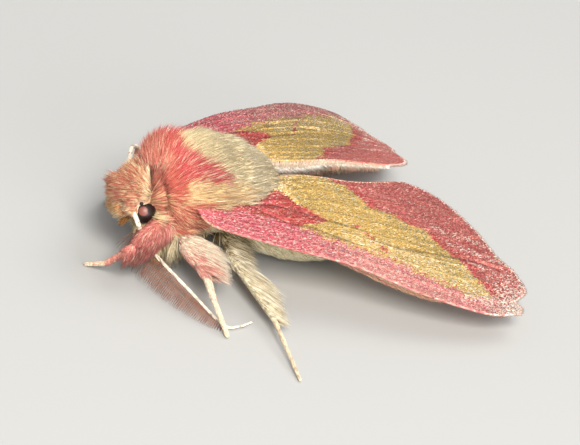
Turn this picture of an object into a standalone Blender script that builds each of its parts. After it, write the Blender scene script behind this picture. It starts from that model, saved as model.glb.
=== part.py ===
"""Pink prominent moth at rest, life size: a still model with wings folded low over the body.

The head points to -X, the back is up (+Z) and the floor is at z = 0. Shapes are worked out in
millimetres and each finished mesh is brought to metres, with the middle of the whole moth's
footprint at the origin.
"""

import math
import random

import bmesh
import bpy
from mathutils import Matrix, Vector

MM = 0.001
GAP = 0.3
CUT_BLOCK = 40.0
SLIVERS = (0.002, 0.0005, 0.0)  # edges shorter than the first that leaves a closed surface are closed up
SEED = 7

# Body: the middle line lies at y = 0. Each station is (x, middle height, half width, half height).
THORAX_STATIONS = [
    (-3.75, 4.55, 0.70, 0.55),
    (-3.35, 4.35, 1.30, 1.05),
    (-2.60, 4.00, 1.80, 1.65),
    (-1.30, 3.80, 2.05, 2.05),
    (0.20, 3.60, 1.95, 1.90),
    (1.40, 3.30, 1.55, 1.55),
    (2.20, 3.00, 1.15, 1.20),
]
ABDOMEN_STATIONS = [
    (0.50, 1.85, 1.20, 0.62),
    (1.00, 1.74, 1.72, 0.94),
    (1.80, 1.64, 2.08, 1.20),
    (3.10, 1.54, 2.50, 1.44),
    (4.20, 1.50, 2.65, 1.55),
    (5.60, 1.45, 2.50, 1.50),
    (7.00, 1.25, 1.70, 1.15),
    (8.10, 1.15, 1.05, 0.75),
    (8.80, 1.15, 0.42, 0.36),
]
ABDOMEN_SIDEWAYS = -0.30  # the abdomen leans to the left under the wings
ABDOMEN_RINGS = 9
ABDOMEN_RING_BULGE = 0.05
BREAST_CENTRE = Vector((-2.05, 0.0, 2.25))
BREAST_RADII = Vector((1.45, 1.62, 1.42))
COLLAR_END = -2.70
HEAD_CENTRE = Vector((-4.00, 0.0, 3.35))
HEAD_RADII = Vector((0.88, 0.90, 0.90))
NECK_POINT = Vector((-3.52, 0.0, 3.50))
NECK_NORMAL = Vector((-0.90, 0.0, -0.43)).normalized()
EYE_CENTRE = Vector((-3.82, 0.82, 3.00))
EYE_RADIUS = 0.41
EYE_GAP = 0.2
PALP_ROOT = Vector((-4.25, 0.35, 2.72))
PALP_TIP = Vector((-4.75, 0.42, 2.10))
PALP_RADIUS = 0.27

# Locks of the coat: width, thickness, and how deep the root is sunk.
COAT_LOCK = (0.64, 0.26, 0.40)
HEAD_LOCK = (0.46, 0.24, 0.40)
TAIL_LOCK = (0.42, 0.24, 0.40)
FRINGE_LOCK = (0.48, 0.24, 0.06)
LOCK_RINGS = [(0.15, 1.0), (0.62, 0.70)]  # share of the length, share of the full width
LOCK_ROOT_WIDTH = 0.80
THORAX_ROWS = [-3.50, -3.00, -2.40, -1.75, -1.05, -0.30, 0.45, 1.15, 1.80]
LOCKS_PER_MM = 3.3  # locks in a row, for each millimetre of half width and half height
UNDERSIDE = -0.72  # rows of locks end below this share of the half height
HEAD_RINGS = [(14, 5), (38, 9), (62, 12), (88, 12), (114, 9)]  # angle from the face's front, locks
HAIRLINE = -3.70  # the head's locks stand in front of this
BREAST_ROWS = [(math.radians(32), 5), (math.radians(66), 9)]  # angle from straight down, locks
BREAST_LOCK_LENGTH = 0.70
TAIL_ROWS = [(7.75, 8, 0.80), (8.45, 6, 0.70)]  # x, locks, their length

# Wings: hinge, apex and tornus of each forewing, then the outline in the plane of those three
# points, with x along the line from hinge to apex and y towards the inner margin.
WING_HINGE = {"left": (-2.16, -1.91, 3.90), "right": (-2.16, 1.91, 3.90)}
WING_APEX = {"left": (11.70, -8.09, 1.10), "right": (11.70, 7.02, 0.78)}
WING_TORNUS = {"left": (9.15, -0.15, 3.00), "right": (8.90, 0.85, 2.79)}
WING_ARCH = {"left": 0.25, "right": 1.41}
WING_CAMBER = {"left": 0.30, "right": -0.54}
WING_SCALE = {"left": 1.0, "right": 0.964}
WING_TOP = 0.15
WING_THICKNESS = 0.50
WING_CHORD = (0.9, 7.4)  # how far the costa lies before the line to the apex, and the greatest chord
VEIN_HEIGHT = 0.13
VEIN_HALF_WIDTH = 0.022
RIM_THINNING = 0.10
FOREWING_COSTA = [(0.05, -0.10), (1.00, -0.90), (3.80, -0.98), (7.20, -0.80), (10.60, -1.12),
                  (13.60, -0.92), (15.40, -0.20)]
FOREWING_TERMEN = [(15.40, -0.20), (15.62, 1.15), (15.05, 2.15), (14.20, 2.80), (13.30, 4.00),
                   (12.20, 5.10), (11.00, 5.80), (9.60, 5.95)]
FOREWING_INNER = [(0.30, 0.35), (1.50, 0.60), (2.70, 1.20), (3.60, 2.20), (4.25, 3.50), (5.20, 4.18),
                  (7.00, 4.62), (9.60, 5.95)]
FOREWING_VEINS = [0.09, 0.21, 0.33, 0.44, 0.55, 0.66, 0.78, 0.90]
HINDWING_DROP = 0.95
HINDWING_COSTA = [(1.75, 0.60), (3.50, 0.62), (5.60, 0.50), (7.60, 0.12), (9.30, -0.15), (11.00, -0.20),
                  (11.90, 0.05)]
HINDWING_TERMEN = [(11.90, 0.05), (12.25, 0.90), (11.80, 2.10), (10.70, 3.10), (9.20, 3.60)]
HINDWING_INNER = [(1.90, 0.90), (3.40, 1.30), (5.40, 2.05), (7.20, 2.90), (9.20, 3.60)]
HINDWING_VEINS = [0.20, 0.42, 0.64, 0.84]
WING_ROWS = 11
CUTTER_COLUMNS = 6
OUTLINE_STEPS = 64

# Legs: root, knee, heel and foot of each. The left ones stand as seen, and the right ones are the
# hidden side's, finished in the same stance.
LEG_JOINTS = {
    "fore_left": [(-3.40, -1.68, 2.60), (-5.02, -2.10, 2.30), (-5.32, -1.08, 0.70), (-5.86, -0.28, 0.0)],
    "mid_left": [(-2.20, -1.45, 2.15), (-2.02, -3.80, 1.75), (-1.88, -4.95, 1.00), (-1.64, -6.10, 0.0)],
    "hind_left": [(-0.15, -1.15, 2.30), (0.01, -2.80, 1.30), (0.49, -6.05, 0.70), (0.27, -9.50, 0.0)],
    "fore_right": [(-3.30, 1.50, 2.55), (-4.10, 2.45, 2.35), (-3.40, 3.50, 1.05), (-2.65, 4.55, 0.0)],
    "mid_right": [(-1.90, 1.45, 2.20), (-1.30, 3.05, 2.30), (-0.80, 4.45, 1.25), (-0.50, 5.85, 0.0)],
    "hind_right": [(-0.15, 1.15, 2.30), (0.60, 2.70, 1.55), (2.30, 5.20, 0.80), (3.60, 7.30, 0.0)],
}
TARSUS_RISE = {"fore": 0.08, "mid": 0.28, "hind": 0.06}
FEMUR_RADIUS = {"fore": 0.27, "mid": 0.34, "hind": 0.30}
TIBIA_RADIUS = {"fore": 0.27, "mid": 0.28, "hind": 0.32}
TARSUS_RADIUS = 0.25
FOOT_RADIUS = 0.20
# Hair fringes: limb, share of its length where the locks begin and end, how many, their length, and
# the ways they fan, as parts ahead along the limb and towards the trailing side.
FRINGES = {
    "femur_fore": (0.15, 0.92, 9, 1.15, (0.35, 0.95)),
    "tibia_fore": (0.10, 0.85, 5, 0.70, (0.70, 0.70)),
    "femur_mid": (0.10, 0.95, 13, 1.50, (0.50, 0.95)),
    "tibia_mid": (0.08, 0.40, 3, 0.70, (0.90, 0.45)),
    "femur_hind": (0.62, 0.92, 4, 1.15, (0.25, 0.95)),
    "tibia_hind": (0.10, 0.95, 12, 1.35, (0.60, 0.80)),
}
FRINGE_TRAIL = {"fore": (0.55, 0.10, -0.80), "mid": (1.0, 0.0, 0.10), "hind": (1.0, 0.0, 0.05)}
FRINGE_SPLAY = 0.22  # the two rows of a fringe lean this far apart

# Antennae: the shaft's points, with the comb's teeth in two rows.
ANTENNA_LEFT = [(-4.50, -0.78, 3.62), (-4.54, -1.12, 3.36), (-4.24, -1.45, 2.66), (-3.72, -1.22, 1.85),
                (-3.08, -1.25, 0.98), (-2.30, -3.39, 0.55), (-1.55, -5.38, 0.17), (-0.90, -5.62, 0.15),
                (-0.12, -5.42, 0.15)]
ANTENNA_RIGHT = [(-4.50, 0.78, 3.62), (-4.20, 1.25, 4.05), (-3.62, 2.10, 4.42), (-2.75, 2.80, 3.75),
                 (-2.55, 2.95, 2.80), (-2.35, 3.30, 1.70), (-2.05, 4.10, 0.85), (-1.60, 5.10, 0.32),
                 (-1.15, 5.80, 0.20)]
ANTENNA_STEPS = 22
ANTENNA_HEAD_STEPS = 9  # as many steps of the shaft pass by the head
ANTENNA_RADIUS = 0.23
ANTENNA_TIP_RADIUS = 0.10
COMB_ROWS = {
    "left": [(-0.85, -0.49, -0.19), (-0.45, 0.10, -0.90)],
    "right": [(-0.85, 0.49, -0.19), (0.30, 0.20, -0.90)],
}
COMB_STEPS = 72
COMB_SPAN = (0.12, 0.84)  # shares of the shaft between which it has teeth
TOOTH_LENGTH = 1.15
TOOTH_SPACING = 0.36
TOOTH_FLOOR = 0.12
TOOTH_RINGS = [(0.0, 0.12), (0.5, 0.10)]  # share of the length, half the width

COLOURS = {
    "pink_coat": ((0.76, 0.20, 0.22), 0.75),
    "cream_coat": ((0.80, 0.68, 0.42), 0.80),
    "pink_wing": ((0.78, 0.25, 0.30), 0.60),
    "pale_wing": ((0.86, 0.74, 0.66), 0.60),
    "pale_leg": ((0.88, 0.78, 0.66), 0.70),
    "shaft": ((0.86, 0.79, 0.70), 0.60),
    "eye": ((0.10, 0.05, 0.05), 0.20),
}


def clear_scene():
    for obj in list(bpy.data.objects):
        bpy.data.objects.remove(obj, do_unlink=True)


def material(name):
    found = bpy.data.materials.get(name)
    if found:
        return found
    made = bpy.data.materials.new(name)
    made.use_nodes = True
    colour, roughness = COLOURS[name]
    shader = made.node_tree.nodes["Principled BSDF"]
    shader.inputs["Base Color"].default_value = (*colour, 1.0)
    shader.inputs["Roughness"].default_value = roughness
    shader.inputs["Metallic"].default_value = 0.0
    made.diffuse_color = (*colour, 1.0)
    return made


def smooth_path(points, steps):
    """Points read from a smooth curve through the given ones, as a list of `steps` + 1 vectors."""
    given = [Vector(p) for p in points]
    ends = [2 * given[0] - given[1], *given, 2 * given[-1] - given[-2]]
    spans = len(given) - 1
    made = []
    for i in range(steps + 1):
        place = i / steps * spans
        k = min(int(place), spans - 1)
        t = place - k
        a, b, c, d = ends[k:k + 4]
        made.append(0.5 * (2 * b + (c - a) * t + (2 * a - 5 * b + 4 * c - d) * t**2
                           + (3 * b - a - 3 * c + d) * t**3))
    return made


def between(stations, x):
    """The station's values at x, read along straight lines between the given stations."""
    for low, high in zip(stations, stations[1:]):
        if x <= high[0]:
            t = (x - low[0]) / (high[0] - low[0])
            t = max(0.0, t)
            return [low[i] + (high[i] - low[i]) * t for i in range(1, 4)]
    return list(stations[-1][1:])


def rings_to_mesh(rings, tip=None):
    """A closed tube through rings of equal count, capped flat, or drawn to a point at its end."""
    bm = bmesh.new()
    count = len(rings[0])
    rows = [[bm.verts.new(p) for p in ring] for ring in rings]
    for low, high in zip(rows, rows[1:]):
        for i in range(count):
            j = (i + 1) % count
            bm.faces.new((low[i], low[j], high[j], high[i]))
    bm.faces.new(list(reversed(rows[0])))
    if tip is None:
        bm.faces.new(rows[-1])
    else:
        point = bm.verts.new(tip)
        for i in range(count):
            bm.faces.new((rows[-1][i], rows[-1][(i + 1) % count], point))
    bmesh.ops.triangulate(bm, faces=bm.faces)
    bmesh.ops.recalc_face_normals(bm, faces=bm.faces)
    return bm


def tube(path, radii, sides=8, grow=0.0, flat_foot=False):
    """A round limb along a path. `grow` fattens and lengthens it, for a cutter."""
    points = [Vector(p) for p in path]
    if grow:
        points[0] = points[0] - (points[1] - points[0]).normalized() * grow
        points[-1] = points[-1] + (points[-1] - points[-2]).normalized() * grow
    rings = []
    side = Vector((0.0, 0.0, 1.0)).cross(points[1] - points[0])
    if side.length < 1e-6:
        side = Vector((1.0, 0.0, 0.0))
    for i, point in enumerate(points):
        ahead = points[min(i + 1, len(points) - 1)] - points[max(i - 1, 0)]
        ahead.normalize()
        side = (side - ahead * side.dot(ahead)).normalized()
        over = ahead.cross(side)
        radius = radii[i] + grow
        ring = []
        for k in range(sides):
            turn = 2 * math.pi * k / sides
            ring.append(point + radius * (math.cos(turn) * side + math.sin(turn) * over))
        if flat_foot and i == len(points) - 1:
            ring = [Vector((p.x, p.y, 0.0)) for p in ring]
        rings.append(ring)
    return rings_to_mesh(rings)


def body_form(stations, sides, rows, grow=0.0, bulge=0.0, bulges=0, sideways=0.0):
    """A body length of oval sections, with a low swelling for each ring."""
    rings = []
    first, last = stations[0][0] - grow, stations[-1][0] + grow
    for i in range(rows + 1):
        share = i / rows
        x = first + (last - first) * share
        height, half_width, half_height = between(stations, x)
        swell = grow + bulge * abs(math.sin(math.pi * share * bulges))
        ring = []
        for k in range(sides):
            turn = 2 * math.pi * k / sides
            ring.append(Vector((x, sideways + (half_width + swell) * math.cos(turn),
                                height + (half_height + swell) * math.sin(turn))))
        rings.append(ring)
    return rings_to_mesh(rings)


def ball(centre, radii, segments=14, rings=9):
    bm = bmesh.new()
    bmesh.ops.create_uvsphere(bm, u_segments=segments, v_segments=rings, radius=1.0)
    bmesh.ops.scale(bm, vec=radii, verts=bm.verts)
    bmesh.ops.translate(bm, vec=centre, verts=bm.verts)
    bmesh.ops.triangulate(bm, faces=bm.faces)
    return bm


def lock(root, start, end, face, length, size):
    """One flat, tapered lock. It leaves its root along `start`, bends over to `end`, and its flat
    side looks along `face`."""
    start, end = start.normalized(), end.normalized()
    width, thickness, sunk = size

    def centre(t):
        return root + length * (start * t + (end - start) * t * abs(t) / 2)

    rings = []
    for t, wide in [(-sunk / length, LOCK_ROOT_WIDTH), *LOCK_RINGS]:
        ahead = (start + (end - start) * max(t, 0.0)).normalized()
        side = face.cross(ahead)
        if side.length < 1e-3:
            side = ahead.orthogonal()
        side.normalize()
        over = ahead.cross(side).normalized()
        half, deep = width / 2 * wide, thickness / 2 * wide
        point = centre(t)
        rings.append([point + side * half, point + over * deep, point - side * half, point - over * deep])
    return rings_to_mesh(rings, centre(1.0))


def add_object(name, bm, collection=None):
    mesh = bpy.data.meshes.new(name)
    bm.to_mesh(mesh)
    bm.free()
    obj = bpy.data.objects.new(name, mesh)
    (collection or bpy.context.scene.collection).objects.link(obj)
    return obj


def apply_boolean(obj, pieces, operation, solver):
    """One Boolean of all the pieces on obj, applied, with the pieces then removed."""
    group = bpy.data.collections.new("pieces")
    bpy.context.scene.collection.children.link(group)
    for i, bm in enumerate(pieces):
        add_object(f"piece_{i}", bm, group)
    modifier = obj.modifiers.new("join", "BOOLEAN")
    modifier.operation = operation
    modifier.solver = solver
    modifier.operand_type = "COLLECTION"
    modifier.collection = group
    bpy.context.view_layer.update()
    graph = bpy.context.evaluated_depsgraph_get()
    made = bpy.data.meshes.new_from_object(obj.evaluated_get(graph))
    obj.modifiers.clear()
    old, obj.data = obj.data, made
    bpy.data.meshes.remove(old)
    for piece in list(group.objects):
        bpy.data.objects.remove(piece, do_unlink=True)
    bpy.data.collections.remove(group)


def keep_largest(obj):
    """Drops every closed surface of obj but the one with the most volume."""
    for sliver in SLIVERS:
        bm = bmesh.new()
        bm.from_mesh(obj.data)
        if sliver:
            bmesh.ops.remove_doubles(bm, verts=bm.verts, dist=sliver)
            bmesh.ops.dissolve_degenerate(bm, edges=bm.edges, dist=sliver)
        bmesh.ops.triangulate(bm, faces=bm.faces)
        if all(edge.is_manifold for edge in bm.edges):
            break
    left = set(bm.faces)
    islands = []
    while left:
        todo = [left.pop()]
        island = []
        while todo:
            face = todo.pop()
            island.append(face)
            for edge in face.edges:
                for other in edge.link_faces:
                    if other in left:
                        left.remove(other)
                        todo.append(other)
        islands.append(island)

    def volume(faces):
        return sum(f.verts[0].co.dot(f.verts[1].co.cross(f.verts[2].co)) for f in faces) / 6

    islands.sort(key=volume)
    drop = [face for island in islands[:-1] for face in island]
    bmesh.ops.delete(bm, geom=drop, context="FACES")
    bm.to_mesh(obj.data)
    bm.free()


def half_space(point, normal):
    """A block that fills the side of a plane that its normal points to, for a flat cut."""
    bm = bmesh.new()
    bmesh.ops.create_cube(bm, size=CUT_BLOCK)
    bmesh.ops.translate(bm, vec=(0.0, 0.0, CUT_BLOCK / 2), verts=bm.verts)
    turn = normal.to_track_quat("Z", "Y").to_matrix()
    bmesh.ops.rotate(bm, cent=(0.0, 0.0, 0.0), matrix=turn, verts=bm.verts)
    bmesh.ops.translate(bm, vec=point, verts=bm.verts)
    bmesh.ops.triangulate(bm, faces=bm.faces)
    return bm


def build_node(name, core, look, joined=(), cutters=(), solver="EXACT"):
    """One node: its core with its pieces fused on, then cut clear of its neighbours."""
    obj = add_object(name, core)
    if joined:
        apply_boolean(obj, joined, "UNION", solver)
        keep_largest(obj)
    if cutters:
        apply_boolean(obj, cutters, "DIFFERENCE", solver)
        keep_largest(obj)
    obj.data.materials.clear()
    obj.data.materials.append(material(look))
    return obj


# Wings


def wing_axes(side):
    """Hinge, direction to the apex, direction to the inner margin, and upward normal."""
    hinge, apex, tornus = (Vector(table[side]) for table in (WING_HINGE, WING_APEX, WING_TORNUS))
    along = (apex - hinge).normalized()
    across = tornus - hinge
    across = (across - along * across.dot(along)).normalized()
    up = along.cross(across)
    if up.z < 0:
        up = -up
    return hinge, along, across, up


def wing_place(side, x, y, height):
    """The point of a wing at x and y of its outline, with the arch and camber of the folded wing."""
    hinge, along, across, up = wing_axes(side)
    length = FOREWING_COSTA[-1][0]
    share = min(max(x / length, 0.0), 1.0)
    chord = min(max((y + WING_CHORD[0]) / WING_CHORD[1], 0.0), 1.0)
    rise = 4 * WING_ARCH[side] * share * (1 - share) * (1 - 0.5 * chord)
    rise += 4 * WING_CAMBER[side] * chord * (1 - chord) * min(1.0, 1.5 * share)
    scale = WING_SCALE[side]
    return hinge + along * x * scale + across * y * scale + up * (rise + height)


def curve_at(points, share):
    """A point of the smooth outline through the given (x, y) points, share 0 to 1 along it."""
    path = smooth_path([(x, y, 0.0) for x, y in points], OUTLINE_STEPS)
    place = share * OUTLINE_STEPS
    k = min(int(place), OUTLINE_STEPS - 1)
    return path[k].lerp(path[k + 1], place - k)


def wing_outline_point(costa, termen, inner, along, across):
    """The outline's x and y at `along` (hinge 0 to termen 1) and `across` (costa 0 to inner margin 1)."""
    front, back = curve_at(costa, along), curve_at(inner, along)
    root, end = curve_at([costa[0], inner[0]], across), curve_at(termen, across)
    corners = [Vector((*p, 0.0)) for p in (costa[0], termen[0], inner[0], termen[-1])]
    flat = corners[0].lerp(corners[1], along).lerp(corners[2].lerp(corners[3], along), across)
    return front.lerp(back, across) + root.lerp(end, along) - flat


def wing_columns(veins):
    """Places across the wing: three for each vein's ridge, and the two margins."""
    columns = [(0.0, 0.0)]
    for vein in veins:
        columns += [(vein - VEIN_HALF_WIDTH, 0.0), (vein, VEIN_HEIGHT), (vein + VEIN_HALF_WIDTH, 0.0)]
    return columns + [(1.0, 0.0)]


def rim_of(rows, wide):
    """The places (row, column) round the edge of a wing's grid, in order."""
    rim = [(0, k) for k in range(wide)] + [(i, wide - 1) for i in range(1, rows + 1)]
    return rim + [(rows, k) for k in range(wide - 2, -1, -1)] + [(i, 0) for i in range(rows - 1, 0, -1)]


def widened(plan, rim, grow):
    """Moves the rim of a wing's plan outwards by `grow`, square to the outline."""
    middle = sum((plan[i][k] for i, k in rim), Vector((0.0, 0.0, 0.0))) / len(rim)
    moved = {}
    for place, (i, k) in enumerate(rim):
        before, after = rim[place - 1], rim[(place + 1) % len(rim)]
        along = plan[after[0]][after[1]] - plan[before[0]][before[1]]
        out = Vector((along.y, -along.x, 0.0)).normalized()
        if out.dot(plan[i][k] - middle) < 0:
            out = -out
        moved[i, k] = plan[i][k] + out * grow
    for (i, k), point in moved.items():
        plan[i][k] = point


def wing_form(side, outline, veins, drop=0.0, grow=0.0):
    """A wing plate with raised veins, its two faces split into triangles alike. `grow` fattens it
    all round, for a cutter."""
    costa, termen, inner = outline
    columns = wing_columns(veins)
    if grow:
        columns = [(k / CUTTER_COLUMNS, 0.0) for k in range(CUTTER_COLUMNS + 1)]
    wide = len(columns)
    rim = rim_of(WING_ROWS, wide)
    plan = [[wing_outline_point(costa, termen, inner, i / WING_ROWS, across) for across, _ in columns]
            for i in range(WING_ROWS + 1)]
    if grow:
        widened(plan, rim, grow)
    bm = bmesh.new()
    tops, bottoms = [], []
    for i, row in enumerate(plan):
        along = i / WING_ROWS
        fade = min(1.0, 4 * (1 - along)) * min(1.0, 4 * along + 0.3)
        top_row, bottom_row = [], []
        for k, ((_, raised), p) in enumerate(zip(columns, row)):
            thin = RIM_THINNING if (i, k) in rim and not grow else 0.0
            top = WING_TOP - drop + (VEIN_HEIGHT + grow if grow else raised * fade - thin)
            low = WING_TOP - drop - WING_THICKNESS + (-grow if grow else raised * fade * 0.5 + thin)
            top_row.append(bm.verts.new(wing_place(side, p.x, p.y, top)))
            bottom_row.append(bm.verts.new(wing_place(side, p.x, p.y, low)))
        tops.append(top_row)
        bottoms.append(bottom_row)
    for i in range(WING_ROWS):
        for k in range(wide - 1):
            a, b = tops[i][k], tops[i][k + 1]
            c, d = tops[i + 1][k + 1], tops[i + 1][k]
            bm.faces.new((a, b, c))
            bm.faces.new((a, c, d))
            a, b = bottoms[i][k], bottoms[i][k + 1]
            c, d = bottoms[i + 1][k + 1], bottoms[i + 1][k]
            bm.faces.new((c, b, a))
            bm.faces.new((d, c, a))
    for (i, k), (m, n) in zip(rim, rim[1:] + rim[:1]):
        bm.faces.new((tops[i][k], bottoms[i][k], bottoms[m][n]))
        bm.faces.new((tops[i][k], bottoms[m][n], tops[m][n]))
    bmesh.ops.recalc_face_normals(bm, faces=bm.faces)
    return bm


FOREWING = (FOREWING_COSTA, FOREWING_TERMEN, FOREWING_INNER)
HINDWING = (HINDWING_COSTA, HINDWING_TERMEN, HINDWING_INNER)


def forewing(side, grow=0.0):
    return wing_form(side, FOREWING, FOREWING_VEINS, 0.0, grow)


def hindwing(side, grow=0.0):
    return wing_form(side, HINDWING, HINDWING_VEINS, HINDWING_DROP, grow)


# Legs


def leg_parts(leg, grow=0.0):
    """Femur, tibia and tarsus of one leg, each starting GAP past the end of the one before."""
    kind = leg.split("_")[0]
    root, knee, heel, foot = (Vector(p) for p in LEG_JOINTS[leg])

    def shortened(a, b, cut_a, cut_b):
        ahead = (b - a).normalized()
        return a + ahead * cut_a, b - ahead * cut_b

    a, b = shortened(root, knee, 0.0, GAP / 2)
    wide = FEMUR_RADIUS[kind]
    femur = tube([a, a.lerp(b, 0.5), b], [wide * 0.9, wide, wide * 0.85], 8, grow)
    a, b = shortened(knee, heel, GAP / 2, GAP / 2)
    wide = TIBIA_RADIUS[kind]
    tibia = tube([a, a.lerp(b, 0.35), b], [wide * 0.9, wide, TARSUS_RADIUS], 8, grow)
    a, b = shortened(heel, foot, GAP / 2, 0.0)
    rise = Vector((0.0, 0.0, TARSUS_RISE[kind]))
    path = [a, a.lerp(b, 0.33) + rise, a.lerp(b, 0.66) + rise * 0.9, b]
    radii = [TARSUS_RADIUS, TARSUS_RADIUS, TARSUS_RADIUS * 0.9, FOOT_RADIUS]
    tarsus = tube(path, radii, 8, grow, flat_foot=True)
    return {"femur": femur, "tibia": tibia, "tarsus": tarsus}


def draw_for(node):
    """A seeded source of random numbers for one node, the same in each run."""
    return random.Random(f"{SEED} {node}")


def fringe(limb, leg, rng):
    """Two overlapping rows of locks down the trailing side of a limb, fanning towards its end."""
    kind, side_name = leg.split("_")
    if f"{limb}_{kind}" not in FRINGES:
        return []
    first, last, count, length, (forward, outward) = FRINGES[f"{limb}_{kind}"]
    place = {"femur": 0, "tibia": 1}[limb]
    start, end = (Vector(p) for p in LEG_JOINTS[leg][place:place + 2])
    ahead = (end - start).normalized()
    trail = Vector(FRINGE_TRAIL[kind])
    if side_name == "right":
        trail.y = -trail.y
    trail = (trail - ahead * trail.dot(ahead)).normalized()
    face = ahead.cross(trail)
    made = []
    for i in range(count):
        share = first + (last - first) * i / (count - 1)
        lean = face * (FRINGE_SPLAY if i % 2 else -FRINGE_SPLAY)
        root = start.lerp(end, share) + trail * 0.05
        direction = trail * outward + ahead * forward + lean
        bend = ahead * (forward + 0.35) + trail * outward * 0.7 + lean * 0.5
        size = length * (0.80 + 0.30 * math.sin(math.pi * i / (count - 1))) * rng.uniform(0.92, 1.08)
        made.append(lock(root, direction, bend, face, size, FRINGE_LOCK))
    return made


# Coat


def section_point(stations, x, turn):
    """A point and its outward direction on a body length, turn 0 at the right side, 90 at the back."""
    height, half_width, half_height = between(stations, x)
    point = Vector((x, half_width * math.cos(turn), height + half_height * math.sin(turn)))
    before, after = between(stations, x - 0.3), between(stations, x + 0.3)
    slope = (after[1] - before[1]) / 0.6
    out = Vector((-slope, math.cos(turn) / half_width, math.sin(turn) / half_height))
    out.y *= half_width
    out.z *= half_height
    return point, out.normalized()


def thorax_locks(rng):
    """Long locks in overlapping rows: the collar stands up, and the rest lies back and down."""
    made = []
    for row, x in enumerate(THORAX_ROWS):
        _, half_width, half_height = between(THORAX_STATIONS, x)
        count = max(8, int((half_width + half_height) * LOCKS_PER_MM))
        for k in range(count):
            turn = 2 * math.pi * (k + 0.5 * (row % 2)) / count + rng.uniform(-0.07, 0.07)
            point, out = section_point(THORAX_STATIONS, x + rng.uniform(-0.10, 0.10), turn)
            top = math.sin(turn)
            if top < UNDERSIDE:
                continue
            back = Vector((1.0, 0.0, 0.15 * top))
            start = out * 0.95 + back * (0.75 if x > COLLAR_END else 0.10)
            end = back + out * 0.30
            size = (1.20 if top > 0.2 else 0.95) * rng.uniform(0.90, 1.12)
            if x < COLLAR_END and top > -0.2:
                start = out + Vector((-0.30, 0.0, 0.35))
                end = Vector((0.30, 0.0, 0.75)) + out * 0.5
                size = 1.05 * rng.uniform(0.90, 1.12)
            made.append(lock(point, start, end, out, size, COAT_LOCK))
    return made


def breast_locks(rng):
    """The hair under the thorax, between the legs, which hangs down and back."""
    made = []
    for lean, count in BREAST_ROWS:
        for k in range(count):
            turn = 2 * math.pi * (k + 0.5) / count
            out = Vector((math.sin(lean) * math.cos(turn), math.sin(lean) * math.sin(turn), -math.cos(lean)))
            point = BREAST_CENTRE + Vector([out[i] * BREAST_RADII[i] for i in range(3)])
            start = out + Vector((0.35, 0.0, -0.10))
            end = out * 0.4 + Vector((0.75, 0.0, -0.45))
            made.append(lock(point, start, end, out.orthogonal(), BREAST_LOCK_LENGTH * rng.uniform(0.9, 1.1), TAIL_LOCK))
    return made


def head_locks(rng):
    """The crest of the crown and the shorter hair of the face, leaving eyes and antennae free."""
    made = []
    for ring, (tilt, count) in enumerate(HEAD_RINGS):
        for k in range(count):
            turn = 2 * math.pi * (k + 0.5 * (ring % 2)) / count
            polar = math.radians(tilt + rng.uniform(-4, 4))
            face = Vector((-math.cos(polar), math.sin(polar) * math.cos(turn), math.sin(polar) * math.sin(turn)))
            point = HEAD_CENTRE + Vector([face[i] * HEAD_RADII[i] for i in range(3)])
            near_eye = min((point - eye_centre(sign)).length for sign in (1, -1))
            if near_eye < EYE_RADIUS + GAP or point.x > HAIRLINE:
                continue
            crown = max(0.0, face.z)
            start = face + Vector((-0.20, 0.0, 0.25 * crown))
            end = face + Vector((-0.45, 0.0, 0.25 * crown - 0.15))
            size = (0.78 + 0.40 * crown) * rng.uniform(0.9, 1.1)
            made.append(lock(point, start, end, face.orthogonal(), size, HEAD_LOCK))
    return made


def abdomen_locks(rng):
    """The tail tuft of the abdomen."""
    made = []
    for x, count, size in TAIL_ROWS:
        for k in range(count):
            turn = 2 * math.pi * (k + 0.5) / count
            point, out = section_point(ABDOMEN_STATIONS, x, turn)
            point.y += ABDOMEN_SIDEWAYS
            start = out * 0.35 + Vector((1.0, 0.0, 0.05))
            end = Vector((1.0, 0.0, 0.08))
            made.append(lock(point, start, end, out, size * rng.uniform(0.9, 1.1), TAIL_LOCK))
    return made


# Antennae


def antenna_radius(share):
    return ANTENNA_RADIUS + (ANTENNA_TIP_RADIUS - ANTENNA_RADIUS) * share**1.5


def antenna(points, grow=0.0):
    path = smooth_path(points, ANTENNA_STEPS)
    radii = [antenna_radius(i / ANTENNA_STEPS) for i in range(ANTENNA_STEPS + 1)]
    return tube(path, radii, 6, grow)


def antenna_teeth(points, rows):
    """The comb: tapering teeth in two rows, longest in the middle, leaning towards the tip."""
    path = smooth_path(points, COMB_STEPS)
    total = sum((b - a).length for a, b in zip(path, path[1:]))
    made = []
    walked = last = 0.0
    for a, b in zip(path, path[1:]):
        walked += (b - a).length
        share = walked / total
        if walked - last < TOOTH_SPACING or not COMB_SPAN[0] < share < COMB_SPAN[1]:
            continue
        last = walked
        ahead = (b - a).normalized()
        size = TOOTH_LENGTH * math.sin(math.pi * (share - 0.04) / 0.86) ** 0.6
        for row in rows:
            out = Vector(row)
            out = (out - ahead * out.dot(ahead)).normalized()
            reach = (out * 0.90 + ahead * 0.42).normalized() * size
            reach.z = max(reach.z, TOOTH_FLOOR - b.z)
            made.append(tooth(b, reach))
    return made


def tooth(root, reach):
    """A four-sided tapering tooth with its root sunk in the shaft."""
    ahead = reach.normalized()
    side = ahead.orthogonal().normalized()
    over = ahead.cross(side)
    rings = []
    for place, half in TOOTH_RINGS:
        point = root + reach * place
        rings.append([point + side * half, point + over * half, point - side * half, point - over * half])
    return rings_to_mesh(rings, root + reach)


def eye_centre(sign):
    return Vector((EYE_CENTRE.x, sign * EYE_CENTRE.y, EYE_CENTRE.z))


def palp_path(sign):
    root, tip = (Vector((p.x, sign * p.y, p.z)) for p in (PALP_ROOT, PALP_TIP))
    return [root, root.lerp(tip, 0.5), tip]


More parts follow.
